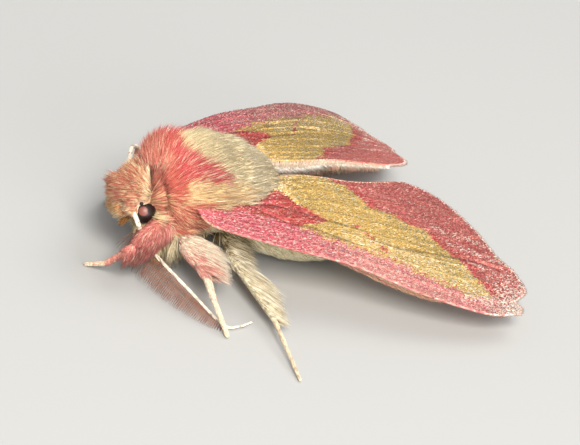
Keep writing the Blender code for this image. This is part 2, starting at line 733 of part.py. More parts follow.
def build_head():
    cutters = []
    for sign in (1, -1):
        cutters.append(ball(eye_centre(sign), Vector([EYE_RADIUS + EYE_GAP] * 3)))
        cutters.append(tube(palp_path(sign), [PALP_RADIUS] * 3, 8, EYE_GAP))
    for points in (ANTENNA_LEFT, ANTENNA_RIGHT):
        path = smooth_path(points, ANTENNA_STEPS)[:ANTENNA_HEAD_STEPS]
        cutters.append(tube(path, [ANTENNA_RADIUS] * ANTENNA_HEAD_STEPS, 8, EYE_GAP))
    for leg in ("fore_left", "fore_right"):
        cutters += leg_parts(leg, EYE_GAP).values()
    core = ball(HEAD_CENTRE, HEAD_RADII, 16, 10)
    cutters.append(half_space(NECK_POINT + NECK_NORMAL * GAP / 2, -NECK_NORMAL))
    build_node("head", core, "pink_coat", head_locks(draw_for("head")), cutters, "MANIFOLD")
    for side, sign in (("left", -1), ("right", 1)):
        build_node(f"eye_{side}", ball(eye_centre(sign), Vector([EYE_RADIUS] * 3), 12, 8), "eye")
        build_node(f"palp_{side}", tube(palp_path(sign), [0.20, PALP_RADIUS, 0.16]), "cream_coat")


def build_thorax():
    rng = draw_for("thorax")
    cutters = []
    for side in ("left", "right"):
        cutters += [forewing(side, GAP), hindwing(side, GAP)]
    for leg in LEG_JOINTS:
        cutters += leg_parts(leg, GAP).values()
    for points in (ANTENNA_LEFT, ANTENNA_RIGHT):
        cutters.append(antenna(points, EYE_GAP))
    cutters.append(abdomen_form(GAP))
    core = body_form(THORAX_STATIONS, 22, 11)
    joined = [ball(BREAST_CENTRE, BREAST_RADII, 12, 8), *breast_locks(rng), *thorax_locks(rng)]
    cutters.append(half_space(NECK_POINT - NECK_NORMAL * GAP / 2, NECK_NORMAL))
    build_node("thorax", core, "pink_coat", joined, cutters, "MANIFOLD")


def abdomen_form(grow=0.0):
    return body_form(ABDOMEN_STATIONS, 16, 2 * ABDOMEN_RINGS, grow, ABDOMEN_RING_BULGE, ABDOMEN_RINGS,
                     ABDOMEN_SIDEWAYS)


def build_abdomen():
    core = abdomen_form()
    cutters = [part for side in ("left", "right") for part in (forewing(side, GAP), hindwing(side, GAP))]
    for leg in ("hind_left", "hind_right"):
        cutters += leg_parts(leg, GAP).values()
    cutters.append(half_space(Vector((0.0, 0.0, 0.0)), Vector((0.0, 0.0, -1.0))))
    build_node("abdomen", core, "cream_coat", abdomen_locks(draw_for("abdomen")), cutters)


def build_legs():
    for leg in LEG_JOINTS:
        look = "pink_coat" if leg.startswith("fore") else "pale_leg"
        for limb, core in leg_parts(leg).items():
            cutters = []
            if limb != "tarsus":
                cutters = [part for name, part in leg_parts(leg, GAP).items() if name != limb]
                cutters.append(antenna(ANTENNA_LEFT if leg.endswith("left") else ANTENNA_RIGHT, EYE_GAP))
            if limb == "femur" and leg.startswith("hind"):
                cutters.append(abdomen_form(GAP))
            locks = fringe(limb, leg, draw_for(f"{limb}_{leg}"))
            build_node(f"{limb}_{leg}", core, look, locks, cutters)


def build_antennae():
    for side, points in (("left", ANTENNA_LEFT), ("right", ANTENNA_RIGHT)):
        cutters = [part for leg in LEG_JOINTS if leg.endswith(side) for part in leg_parts(leg, EYE_GAP).values()]
        teeth = antenna_teeth(points, COMB_ROWS[side])
        build_node(f"antenna_{side}", antenna(points), "shaft", teeth, cutters)


def build_wings():
    for side in ("left", "right"):
        build_node(f"forewing_{side}", forewing(side), "pink_wing")
        build_node(f"hindwing_{side}", hindwing(side), "pale_wing")


def to_metres_on_the_floor():
    """Brings every mesh to metres, with the middle of the footprint at x = 0 and y = 0."""
    nodes = [obj for obj in bpy.context.scene.objects if obj.type == "MESH"]
    points = [v.co for obj in nodes for v in obj.data.vertices]
    middle = [(min(p[i] for p in points) + max(p[i] for p in points)) / 2 for i in (0, 1)]
    move = Matrix.Translation((-middle[0], -middle[1], -min(p.z for p in points)))
    for obj in nodes:
        obj.data.transform(Matrix.Scale(MM, 4) @ move)
        obj.data.update()


def main():
    clear_scene()
    build_head()
    build_thorax()
    build_abdomen()
    build_wings()
    build_legs()
    build_antennae()
    to_metres_on_the_floor()


main()
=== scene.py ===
"""The looks of a pink prominent moth at rest: skin, coat, scaled wings, combed feelers and eyes.

Shapes are worked out in millimetres in the modeller's frame, with the head towards -X, the left side
towards -Y and the floor at z = 0. home() then brings them to the frame's metres.
"""

import math

import bmesh
import bpy
import numpy as np
from mathutils import Matrix, Vector, kdtree, noise


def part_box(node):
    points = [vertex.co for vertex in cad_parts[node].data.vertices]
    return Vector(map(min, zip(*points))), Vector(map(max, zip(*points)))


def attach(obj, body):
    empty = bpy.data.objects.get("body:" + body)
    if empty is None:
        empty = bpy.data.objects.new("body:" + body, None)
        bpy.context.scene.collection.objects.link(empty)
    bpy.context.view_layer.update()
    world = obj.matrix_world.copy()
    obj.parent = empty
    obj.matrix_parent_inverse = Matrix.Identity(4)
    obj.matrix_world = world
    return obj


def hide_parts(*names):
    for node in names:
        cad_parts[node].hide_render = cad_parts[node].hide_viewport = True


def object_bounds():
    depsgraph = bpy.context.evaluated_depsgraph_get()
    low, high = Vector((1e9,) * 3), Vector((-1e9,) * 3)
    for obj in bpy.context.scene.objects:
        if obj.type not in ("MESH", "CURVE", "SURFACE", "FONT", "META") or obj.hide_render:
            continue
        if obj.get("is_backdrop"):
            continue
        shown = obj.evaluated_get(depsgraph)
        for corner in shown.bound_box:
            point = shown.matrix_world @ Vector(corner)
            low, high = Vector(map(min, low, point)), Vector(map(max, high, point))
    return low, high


bl_info = {
    "name": "Pink Prominent Moth",
    "version": (1, 0, 0),
    "blender": (4, 5, 0),
    "location": "3D View > Sidebar > Moth",
    "description": "Builds a furry pink and cream moth with scaled wings",
    "category": "Add Mesh",
}

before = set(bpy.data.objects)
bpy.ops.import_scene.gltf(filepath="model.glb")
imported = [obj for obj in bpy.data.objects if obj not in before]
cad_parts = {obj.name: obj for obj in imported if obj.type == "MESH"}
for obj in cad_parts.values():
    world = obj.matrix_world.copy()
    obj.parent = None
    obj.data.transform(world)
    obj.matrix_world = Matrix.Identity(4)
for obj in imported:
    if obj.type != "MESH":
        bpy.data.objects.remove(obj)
CAD_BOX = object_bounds()
MM = 0.001
FLOOR_GAP = 0.012
# The width of each hair's own patch of its chart, and its width near its tip as a share of the root's.
PATCH = 0.003
BLUNT = 0.55
SIDES = {"left": -1.0, "right": 1.0}

# Body stations: x, middle height, half width, half height. EYE_PLACE is the finished eye's centre, a little
# deeper in the head than that of the plain solid.
THORAX = [(-3.75, 4.55, 0.70, 0.55), (-3.35, 4.35, 1.30, 1.05), (-2.60, 4.00, 1.80, 1.65),
          (-1.30, 3.80, 2.05, 2.05), (0.20, 3.60, 1.95, 1.90), (1.40, 3.30, 1.55, 1.55),
          (2.20, 3.00, 1.15, 1.20), (2.90, 2.70, 0.70, 0.80)]
ABDOMEN = [(0.50, 1.85, 1.20, 0.62), (1.00, 1.74, 1.72, 0.94), (1.80, 1.64, 2.08, 1.20),
           (3.10, 1.54, 2.50, 1.44), (4.20, 1.50, 2.65, 1.50), (5.60, 1.45, 2.50, 1.44),
           (7.00, 1.25, 1.70, 1.12), (8.10, 1.15, 1.05, 0.75), (8.80, 1.15, 0.42, 0.36)]
ABDOMEN_SIDEWAYS = -0.30
# Steps that a body form is read in, and how many of them its outline is eased over.
FINE_STEPS, SOFT_STEPS = 160, 19
BREAST_CENTRE = np.array((-2.05, 0.0, 2.25))
BREAST_RADII = np.array((1.45, 1.62, 1.42))
HEAD_CENTRE = np.array((-4.00, 0.0, 3.35))
HEAD_RADII = np.array((0.88, 0.90, 0.90))
EYE_CENTRE = np.array((-3.82, 0.82, 3.00))
EYE_PLACE = EYE_CENTRE - (0, 0.10, 0)
OCELLUS = np.array((-4.13, 0.90, 3.58))
SCAPE = np.array((-4.40, 0.80, 3.32))
NECK = np.array((-3.95, 0.95, 3.45))
TUFT_CENTRE = np.array((-3.32, 0.78, 3.52))
PALP = [(-4.25, 0.35, 2.72), (-4.62, 0.42, 2.30)]

# Wings: hinge, apex, tornus, arch, camber and scale of each side, then the outlines in the wing's own
# plane, x from hinge to apex and y towards the inner margin, out to the fringe's tips.
WING = {"left": ((-2.16, -1.91, 3.90), (11.70, -8.09, 1.10), (9.15, -0.15, 3.00), 0.25, 0.30, 1.0),
        "right": ((-2.16, 1.91, 3.90), (11.70, 7.02, 0.78), (8.90, 0.85, 2.79), 1.41, -0.54, 0.964)}
FOREWING = ([(0.05, -0.10), (1.00, -0.90), (3.80, -0.98), (7.20, -0.80), (10.60, -1.12), (13.60, -0.92),
             (15.40, -0.20)],
            [(15.40, -0.20), (15.62, 1.15), (15.05, 2.15), (14.20, 2.80), (13.30, 4.00), (12.20, 5.10),
             (11.00, 5.80), (9.60, 5.95)],
            [(0.30, 0.35), (1.40, 1.20), (2.40, 2.30), (3.40, 3.30), (4.40, 3.90), (5.40, 4.22),
             (7.00, 4.62), (9.60, 5.95)])
HINDWING = ([(1.75, 0.60), (3.50, 0.62), (5.60, 0.50), (7.60, 0.12), (9.30, -0.15), (11.00, -0.20),
             (11.90, 0.05)],
            [(11.90, 0.05), (12.25, 0.90), (11.80, 2.10), (10.70, 3.10), (9.20, 3.60)],
            [(1.90, 0.90), (3.40, 1.30), (5.40, 2.05), (7.20, 2.90), (9.20, 3.60)])
VEINS = {"fore": (0.09, 0.21, 0.33, 0.44, 0.55, 0.66, 0.78, 0.90), "hind": (0.20, 0.42, 0.64, 0.84)}
OUTLINES = {"fore": FOREWING, "hind": HINDWING}
# How far each wing lies under the forewings' surface in mm, the shares of its length and width that its
# fringe takes, and its divisions along and across.
DROP = {"fore": 0.0, "hind": 0.95}
FRINGE_ROOM = {"fore": (0.024, 0.022), "hind": (0.035, 0.03)}
GRID = {"fore": (140, 120), "hind": (70, 50)}
WING_LENGTH = 15.4
# The notch behind the apex: its place and width as shares of the termen, its depth as one of the wing.
NOTCH_PLACE, NOTCH_WIDTH, NOTCH_DEPTH = 0.085, 0.036, 0.042
# Half widths of a vein, as a share of the wing's width, and of a fold, then the fold's depth in mm.
VEIN_WIDTH, FOLD_WIDTH, FOLD_DEPTH = 0.012, 0.11, 0.07
# How far the wing reaches in front of its hinge line, and its width, in mm.
WING_FRONT, WING_CHORD = 0.9, 7.4
# The margins of a wing: in front, at its end and behind.
COSTA, TERMEN, INNER = range(3)

# Forewing markings in the wing's plane, each a line of y at x, or of x at y.
COSTAL_BAND = [(0.0, 0.20), (2.5, 0.55), (4.34, 0.49), (6.10, 0.20), (8.61, 0.13), (9.37, 0.08),
               (10.51, -0.15), (11.77, -0.31), (12.45, -0.39), (13.95, -0.12), (15.4, 0.10)]
BASAL_TOP = [(0.21, 0.20), (0.68, 0.52), (1.52, 0.78), (2.16, 1.36), (2.50, 1.95), (3.53, 2.44),
             (4.42, 1.87), (5.91, 1.51), (5.92, -2.0)]
BASAL_LOW = [(4.34, 0.49), (5.55, 1.10), (5.91, 1.51)]
TERMINAL_BAND = [(-0.5, 14.30), (0.01, 13.99), (0.33, 13.39), (0.69, 13.14), (0.97, 12.55), (1.45, 12.25),
                 (1.75, 11.66), (1.85, 11.47), (2.26, 10.69), (2.67, 10.45), (2.78, 9.49), (3.03, 8.83),
                 (3.06, 7.84), (3.67, 7.17), (4.05, 6.61), (4.10, 5.99), (4.60, 5.60)]
POSTMEDIAL = [(7.16, 1.64), (7.96, 1.15), (8.11, 0.90), (8.59, 0.66), (8.83, 0.58), (9.03, 0.30)]

# Folds of a forewing, each a line of y at x between its ends: behind the costa, in the cell, to the termen.
FOLDS = ([(0.80, 0.62), (2.40, 1.06), (3.60, 1.43), (5.20, 1.46), (8.00, 1.50)],
         [(2.30, 0.95), (3.30, 0.72), (4.25, 0.51), (5.20, 0.71), (7.60, 0.52)],
         [(8.20, 1.05), (9.30, 1.09), (10.30, 1.30), (11.20, 1.55), (12.90, 1.83), (14.40, 1.90)])

# Legs: root, knee, heel and foot, then each limb's radius at its start and end.
LEGS = {
    "fore_left": [(-3.40, -1.68, 2.60), (-4.98, -2.10, 2.08), (-5.32, -1.08, 0.70), (-5.86, -0.28, 0.06)],
    "mid_left": [(-2.20, -1.45, 2.15), (-2.02, -3.80, 1.75), (-1.88, -4.95, 1.00), (-1.64, -6.10, 0.06)],
    "hind_left": [(-0.15, -1.15, 2.30), (0.01, -2.80, 1.30), (0.49, -6.05, 0.70), (0.27, -9.50, 0.06)],
    "fore_right": [(-3.30, 1.50, 2.55), (-3.85, 2.38, 2.28), (-3.40, 3.50, 1.05), (-2.65, 4.55, 0.06)],
    "mid_right": [(-1.90, 1.45, 2.20), (-1.30, 3.05, 2.30), (-0.80, 4.45, 1.25), (-0.50, 5.85, 0.06)],
    "hind_right": [(-0.15, 1.15, 2.30), (0.60, 2.70, 1.55), (2.30, 5.20, 0.80), (3.60, 7.30, 0.06)],
}
LIMBS = ("femur", "tibia", "tarsus")
LIMB_RADII = {"femur_fore": (0.28, 0.15), "tibia_fore": (0.15, 0.12), "tarsus_fore": (0.12, 0.09),
              "femur_mid": (0.30, 0.22), "tibia_mid": (0.17, 0.13), "tarsus_mid": (0.12, 0.12),
              "femur_hind": (0.28, 0.22), "tibia_hind": (0.19, 0.14), "tarsus_hind": (0.11, 0.085)}
TRAILING = {"fore": (0.55, 0.10, -0.80), "mid": (1.0, 0.0, 0.10), "hind": (1.0, 0.0, 0.05)}

# The hair-bearing bulk of a femur: share along it, shift out, and its radii ahead, out and across. Then
# how far from a limb's line its skin may lie, and how deep the skin lies inside the solids' outline.
BULK = {"femur_fore": (0.24, -0.05, 0.95, 0.50, 0.34), "femur_mid": (0.40, 0.05, 1.10, 0.42, 0.34)}
LIMB_REACH = 0.5
COAT_DEPTH = 0.10

# Feelers: points along each shaft, then for the two rows of its comb the way they point, the share of the
# shaft that they cover, and the filaments' length in mm at shares of the shaft.
ANTENNAE = {
    "left": [(-4.50, -0.78, 3.62), (-4.54, -1.12, 3.36), (-4.24, -1.45, 2.66), (-3.72, -1.22, 1.85),
             (-3.08, -1.25, 0.98), (-2.30, -3.39, 0.55), (-1.55, -5.38, 0.17), (-0.90, -5.62, 0.15),
             (-0.12, -5.42, 0.15)],
    "right": [(-4.50, 0.78, 3.62), (-3.98, 1.22, 4.02), (-3.50, 2.08, 4.40), (-2.75, 2.80, 3.75),
              (-2.55, 2.95, 2.80), (-2.35, 3.30, 1.70), (-2.05, 4.10, 0.85), (-1.60, 5.10, 0.32),
              (-1.15, 5.80, 0.20)],
}
COMB_ROWS = {"left": ((-0.85, -0.49, -0.19), (-0.45, 0.10, -0.90)),
             "right": ((-0.85, 0.49, -0.19), (0.30, 0.20, -0.90))}
COMB_SPAN = {"left": ((0.13, 0.86), (0.13, 0.86)), "right": ((0.64, 0.88), (0.30, 0.88))}
COMB_LENGTHS = [(0.13, 1.45), (0.45, 1.65), (0.60, 1.40), (0.72, 1.0), (0.87, 0.35)]

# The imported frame's origin in the modeller's frame, found from the box of the left eye.
HOME = EYE_CENTRE * (1, -1, 1) - sum(np.array(corner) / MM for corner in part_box("eye_left")) / 2


def home(points):
    """Millimetres of the modeller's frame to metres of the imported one."""
    return (np.asarray(points, float) - HOME) * MM


def linear(code):
    """A six-digit sRGB hex colour as three linear numbers."""
    parts = [int(code[i:i + 2], 16) / 255 for i in (0, 2, 4)]
    return np.array([p / 12.92 if p <= 0.04045 else ((p + 0.055) / 1.055) ** 2.4 for p in parts])


def unit(vectors):
    """Vectors of the same direction and of length 1."""
    return vectors / np.maximum(np.linalg.norm(vectors, axis=-1, keepdims=True), 1e-9)


def norm(vectors):
    """The length of each row of a table of vectors."""
    return np.linalg.norm(vectors, axis=1)


def clamp(values):
    """Values kept from 0 to 1."""
    return np.clip(values, 0, 1)


def mixes(*rows):
    """Colour mixes, one for each zone: "share root tip" for each colour, with commas between."""
    parts = [[part.split() for part in row.split(", ")] for row in rows]
    return [[(float(share), linear(root), linear(tip)) for share, root, tip in row] for row in parts]


def mirrored(place, signs):
    """One place for each sign, on the left at -1 and on the right at 1, or between for a share."""
    return np.asarray(place) * np.stack((np.ones_like(signs), signs, np.ones_like(signs)), -1)


def read(items, key, width=1, kind=np.float32):
    """All values of one key of a Blender collection, as rows of numbers."""
    values = np.empty(len(items) * width, kind)
    items.foreach_get(key, values)
    return values.reshape(-1, width).astype(float) if width > 1 else values


def corners_of(mesh):
    """The vertex number of every face corner."""
    return read(mesh.loops, "vertex_index", kind=np.int32)


def even(count, seed):
    """Evenly spread pairs of numbers from 0 to 1, with a little seeded jitter."""
    step = np.arange(count)[:, None] * np.array((0.7548776662, 0.5698402910))
    spread = np.random.default_rng(seed).uniform(-0.4, 0.4, (count, 2)) / math.sqrt(count)
    return (step + 0.5 + spread) % 1.0


def smooth_line(points, share):
    """The smooth curve through the given points, read at each share of 0 to 1."""
    given = np.array(points, float)
    ends = np.vstack((2 * given[0] - given[1], given, 2 * given[-1] - given[-2]))
    place = np.clip(share, 0.0, 1.0) * (len(given) - 1)
    k = np.minimum(place.astype(int), len(given) - 2)
    t = (place - k)[..., None]
    a, b, c, d = (ends[k + i] for i in range(4))
    return 0.5 * (2 * b + (c - a) * t + (2 * a - 5 * b + 4 * c - d) * t**2 + (3 * b - a - 3 * c + d) * t**3)


def along_table(table, x):
    """The second value of a table of pairs, read in straight lines at the first."""
    rows = np.array(table, float)
    return np.interp(x, rows[:, 0], rows[:, 1])


def section(stations, x):
    """Middle height, half width and half height of a body form at x, eased between its stations."""
    rows = np.array(stations, float)
    fine = np.linspace(rows[0, 0], rows[-1, 0], FINE_STEPS)
    soft = np.hanning(SOFT_STEPS) / np.hanning(SOFT_STEPS).sum()
    found = []
    for i in (1, 2, 3):
        line = np.pad(np.interp(fine, rows[:, 0], rows[:, i]), SOFT_STEPS // 2, mode="edge")
        found.append(np.interp(x, fine, np.convolve(line, soft, mode="valid")))
    return found


# Meshes


def add_piece(name, mesh, look, nodes=()):
    """Puts a finished mesh in the scene, riding on the body, with its look."""
    piece = bpy.data.objects.new(name, mesh)
    bpy.context.scene.collection.objects.link(piece)
    mesh.materials.clear()
    mesh.materials.append(look)
    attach(piece, "root")
    if nodes:
        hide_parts(*nodes)
    return piece


def mesh_of(name, bm):
    """The mesh of a bmesh, which is then let go."""
    mesh = bpy.data.meshes.new(name)
    bm.to_mesh(mesh)
    bm.free()
    return mesh


def paint(mesh, tint):
    """Stores a colour per point as the attribute that the materials read."""
    layer = mesh.attributes.new("tint", "FLOAT_COLOR", "POINT")
    full = np.ones((len(mesh.vertices), 4), np.float32)
    full[:, :3] = tint
    layer.data.foreach_set("color", full.ravel())


def finish(mesh, points, tint, chart=None):
    """Paints a mesh, charts its points where a chart is given, and brings it home, shaded smooth."""
    paint(mesh, tint)
    if chart is not None:
        layer = mesh.uv_layers.new(name="OFBake")
        corners = corners_of(mesh)
        layer.data.foreach_set("uv", np.ascontiguousarray(chart[corners], np.float32).ravel())
    mesh.vertices.foreach_set("co", home(points).astype(np.float32).ravel())
    mesh.polygons.foreach_set("use_smooth", np.ones(len(mesh.polygons), bool))
    mesh.update()


def joined_mesh(name, points, triangles, tint, chart):
    """Many small like things as one mesh: points in mm, with a tint and a chart place for each."""
    mesh = bpy.data.meshes.new(name)
    mesh.vertices.add(len(points))
    mesh.loops.add(len(triangles) * 3)
    mesh.loops.foreach_set("vertex_index", np.ascontiguousarray(triangles, np.int32).ravel())
    mesh.polygons.add(len(triangles))
    mesh.polygons.foreach_set("loop_start", np.arange(0, len(triangles) * 3, 3, dtype=np.int32))
    points[:, 2] = np.maximum(points[:, 2], FLOOR_GAP)
    finish(mesh, points, tint, chart)
    mesh.update(calc_edges=True)
    return mesh


def tufts(name, root, leave, arrive, flat, length, width, colours, chart, sunk=0.08, bends=2, thin=0.6):
    """Tapering three-sided hairs as one mesh, which leave their roots along `leave` and bend to `arrive`."""
    count = len(root)
    length, width = (np.broadcast_to(np.asarray(v, float), (count,))[:, None] for v in (length, width))
    base, tip = colours
    places = np.linspace(0.0, 1.0, bends + 1)[:-1]
    points, tints, patches = [], [], []
    for k, t in enumerate(places):
        reach = -sunk / length if k == 0 else np.full_like(length, t)
        middle = root + length * (leave * reach + (arrive - leave) * reach * np.abs(reach) / 2)
        ahead = unit(leave + (arrive - leave) * np.maximum(reach, 0))
        side = unit(np.cross(flat, ahead))
        over = np.cross(ahead, side)
        half = width / 2 * (1.0 - (1.0 - BLUNT) * t**1.5)
        for j, turn in enumerate(np.radians((90, 210, 330))):
            points.append(middle + side * half * math.cos(turn) + over * half * thin * math.sin(turn))
            tints.append(base + (tip - base) * t)
            patches.append(chart + PATCH * np.array((j / 2 - 0.5, t - 0.5)))
    points.append(root + length * (leave + arrive) / 2)
    tints.append(tip)
    patches.append(chart + PATCH * np.array((0.0, 0.5)))
    cell = []
    for k in range(bends - 1):
        for j in range(3):
            a, b, c, d = 3 * k + j, 3 * k + (j + 1) % 3, 3 * k + 3 + (j + 1) % 3, 3 * k + 3 + j
            cell += [(a, b, c), (a, c, d)]
    last = 3 * (bends - 1)
    cell += [(last + j, last + (j + 1) % 3, last + 3) for j in range(3)] + [(2, 1, 0)]
    each = last + 4
    order = (np.arange(count) * each)[:, None, None] + np.array(cell)[None]
    stack = [np.stack(values, 1).reshape(count * each, -1) for values in (points, tints, patches)]
    return joined_mesh(name, stack[0], order.reshape(-1, 3), stack[1], stack[2])


def dye_and_shade(rng, zone, table, painted_shade, vary=0.2):
    """Root and tip colours for each zone number, drawn from that zone's row of a table of mixes, with
    painted shade on the roots.
    """
    base, tip = np.empty((len(zone), 3)), np.empty((len(zone), 3))
    for number, mix in enumerate(table):
        here = np.where(zone == number)[0]
        shares, roots, tips = (np.array(part) for part in zip(*mix))
        pick = rng.choice(len(mix), len(here), p=shares / shares.sum())
        base[here], tip[here] = roots[pick], tips[pick]
    light = rng.uniform(1 - vary, 1 + vary, (len(zone), 1))
    # The roots are darkened by a painted shade, for the shadow under what lies over them.
    return base * light * painted_shade, tip * light


# Charts: each region of the body has its own patch of the unwrap, as left, bottom, width and height.

CHART = {"thorax": (0.02, 0.04, 0.28, 0.42), "abdomen": (0.36, 0.04, 0.28, 0.42),
         "head": (0.70, 0.04, 0.26, 0.42)}
for number, (leg, limb) in enumerate((leg, limb) for leg in LEGS for limb in LIMBS):
    CHART[f"{limb}_{leg}"] = (0.02 + 0.054 * number, 0.54, 0.040, 0.40)
REGIONS = list(CHART)


def limb_axes(name):
    """A limb's start, end, direction, trailing side and third axis, and its kind, such as femur_mid."""
    limb, kind, side = name.split("_")
    joints = LEGS[f"{kind}_{side}"]
    start, end = (np.array(joints[LIMBS.index(limb) + k]) for k in (0, 1))
    ahead = unit(end - start)
    trail = np.array(TRAILING[kind]) * (1, -SIDES[side], 1)
    trail = unit(trail - ahead * (trail @ ahead))
    return start, end, ahead, trail, np.cross(ahead, trail), f"{limb}_{kind}"


def bulk_form(name):
    """Centre and half axes, as rows, of the bulk of a femur."""
    start, end, ahead, trail, third, kind = limb_axes(name)
    share, shift, *radii = BULK[kind]
    axes = np.stack((ahead, trail, third)) * np.array(radii)[:, None]
    return start + (end - start) * share + trail * shift, axes


def region_of(points):
    """The number of the body region that each point of the skin belongs to."""
    x, y, z = points.T
    # All is thorax at first. Then the abdomen, near its own outline and under the thorax's end.
    middle, wide, tall = section(ABDOMEN, x)
    low = ((y - ABDOMEN_SIDEWAYS) / (wide + 0.2)) ** 2 + ((z - middle) / (tall + 0.2)) ** 2 < 1
    region = np.where((x > 0.7) & low & ((x > 3.1) | (z < 2.5)), 1, 0)
    # The head, in front of the collar.
    region[(norm(points - HEAD_CENTRE) < 1.45) & (x < -3.68) & ((x < -4.1) | (z > 2.6))] = 2
    # The limbs: what stands clear of thorax, breast and abdomen goes to the nearest limb.
    middle, wide, tall = section(THORAX, x)
    bare = (y / wide) ** 2 + ((z - middle) / tall) ** 2 > 1.04
    bare &= (((points - BREAST_CENTRE) / BREAST_RADII) ** 2).sum(-1) > 1.04
    bare &= region != 1
    best = np.full(len(points), 9.0)
    for number, name in enumerate(REGIONS[3:], 3):
        start, end, ahead, _, _, kind = limb_axes(name)
        share = np.clip((points - start) @ ahead, 0, np.linalg.norm(end - start))
        gap = norm(points - start - share[:, None] * ahead)
        if kind in BULK:
            centre, axes = bulk_form(name)
            gap = np.minimum(gap, 0.4 * norm((points - centre) @ np.linalg.inv(axes)))
        near = bare & (gap < np.minimum(best, LIMB_REACH)) & ((region != 2) | (gap < 0.3))
        region[near] = number
        best[near] = gap[near]
    return region


def chart_place(region, points):
    """Chart places of points that belong to a region, and how far round it they lie."""
    if region in ("thorax", "abdomen"):
        stations, shift = (THORAX, 0.0) if region == "thorax" else (ABDOMEN, ABDOMEN_SIDEWAYS)
        along = (points[:, 0] - stations[0][0]) / (stations[-1][0] - stations[0][0])
        around = np.arctan2(points[:, 2] - section(stations, points[:, 0])[0], points[:, 1] - shift)
    elif region == "head":
        offset = points - HEAD_CENTRE
        along = np.arccos(np.clip(-unit(offset)[:, 0], -1, 1)) / math.pi
        around = np.arctan2(offset[:, 2], offset[:, 1])
    else:
        start, end, ahead, trail, third, _ = limb_axes(region)
        along = (points - start) @ ahead / np.linalg.norm(end - start)
        around = np.arctan2((points - start) @ third, (points - start) @ trail)
    return np.clip(along, -0.05, 1.05), around / (2 * math.pi) + 0.5


# Materials


def add_node(tree, kind, place=(0, 0), links=None, **values):
    """Adds one node with its settings, and links its inputs by name or number."""
    node = tree.nodes.new(kind)
    node.location = place
    settle(node, **values)
    for key, source in (links or {}).items():
        tree.links.new(source, node.inputs[key])
    return node


def settle(node, **values):
    """Sets a node's own settings, or else its inputs, by name with _ for a space."""
    for key, value in values.items():
        if hasattr(node, key):
            setattr(node, key, value)
        else:
            node.inputs[key.replace("_", " ")].default_value = value


def tinted_material(name, pattern, output, distance, strength, **values):
    """A material with the piece's own tint and a bump from a pattern on Object coordinates."""
    made = bpy.data.materials.new(name)
    made.use_nodes = True
    tree = made.node_tree
    shader = tree.nodes["Principled BSDF"]
    tint = add_node(tree, "ShaderNodeAttribute", (-900, 200), attribute_name="tint")
    place = add_node(tree, "ShaderNodeTexCoord", (-1100, -100))
    grain = add_node(tree, pattern, (-900, -100), {"Vector": place.outputs["Object"]}, **values)
    bump = add_node(tree, "ShaderNodeBump", (-400, -200), {"Height": grain.outputs[output]},
                    Strength=strength, Distance=distance * MM)
    tree.links.new(bump.outputs["Normal"], shader.inputs["Normal"])
    return made, tree, shader, tint, grain


def painted_material(name, roughness, sheen, bump_mm, grain_mm, specular):
    """A material whose colour is the piece's own tint, gently varied, with a fine bump."""
    made, tree, shader, tint, grain = tinted_material(name, "ShaderNodeTexNoise", "Fac", bump_mm, 0.5,
                                                      Scale=1 / (grain_mm * MM), Detail=2.0)
    lightness = add_node(tree, "ShaderNodeMapRange", (-700, 60), {"Value": grain.outputs["Fac"]},
                         To_Min=1.0 - MOTTLE, To_Max=1.0 + MOTTLE)
    varied = add_node(tree, "ShaderNodeVectorMath", (-500, 200),
                      {0: tint.outputs["Color"], "Scale": lightness.outputs["Result"]}, operation="SCALE")
    tree.links.new(varied.outputs[0], shader.inputs["Base Color"])
    settle(shader, Roughness=roughness, Specular_IOR_Level=specular, Sheen_Weight=sheen, Sheen_Roughness=0.5)
    return made


# How far the colour of a finish strays to each side, then each finish: roughness, sheen, bump and grain
# in mm, and specular level.
MOTTLE = 0.10
FINISHES = {
    # Long hair-like scales of chitin: soft, with a faint silky edge light.
    "hair_scales": (0.55, 0.05, 0.002, 0.10, 0.30),
    # Overlapping wing scales of ribbed chitin: matt, with a slight satin glint.
    "flat_scales": (0.55, 0.0, 0.002, 0.06, 0.20),
    # Skin close under the coat, powdered with the smallest scales.
    "scaled_skin": (0.75, 0.05, 0.010, 0.08, 0.35),
    # The membrane under its scales, ribbed by rows of scale sockets.
    "wing_membrane": (0.65, 0.05, 0.006, 0.07, 0.35),
    # Bare chitin of the comb: smooth, thin and red-brown.
    "bare_chitin": (0.45, 0.0, 0.001, 0.05, 0.50),
}


def look(name):
    """The finished material of that name, made the first time it is asked for."""
    return bpy.data.materials.get(name) or painted_material(name, *FINISHES[name])


def eye_material(facet_size):
    """Compound eye: smooth chitin facets, glossy, dark with a mauve-brown painted reflection on the side."""
    made, tree, shader, tint, _ = tinted_material("compound_eye", "ShaderNodeTexVoronoi", "Distance", 0.004,
                                                  0.25, Scale=1 / facet_size, Randomness=0.15)
    tree.links.new(tint.outputs["Color"], shader.inputs["Base Color"])
    settle(shader, Roughness=0.45, Coat_Weight=0.12, Coat_Roughness=0.2)
    return made


# Colours of the coat by body region, then the functions that give places their zone


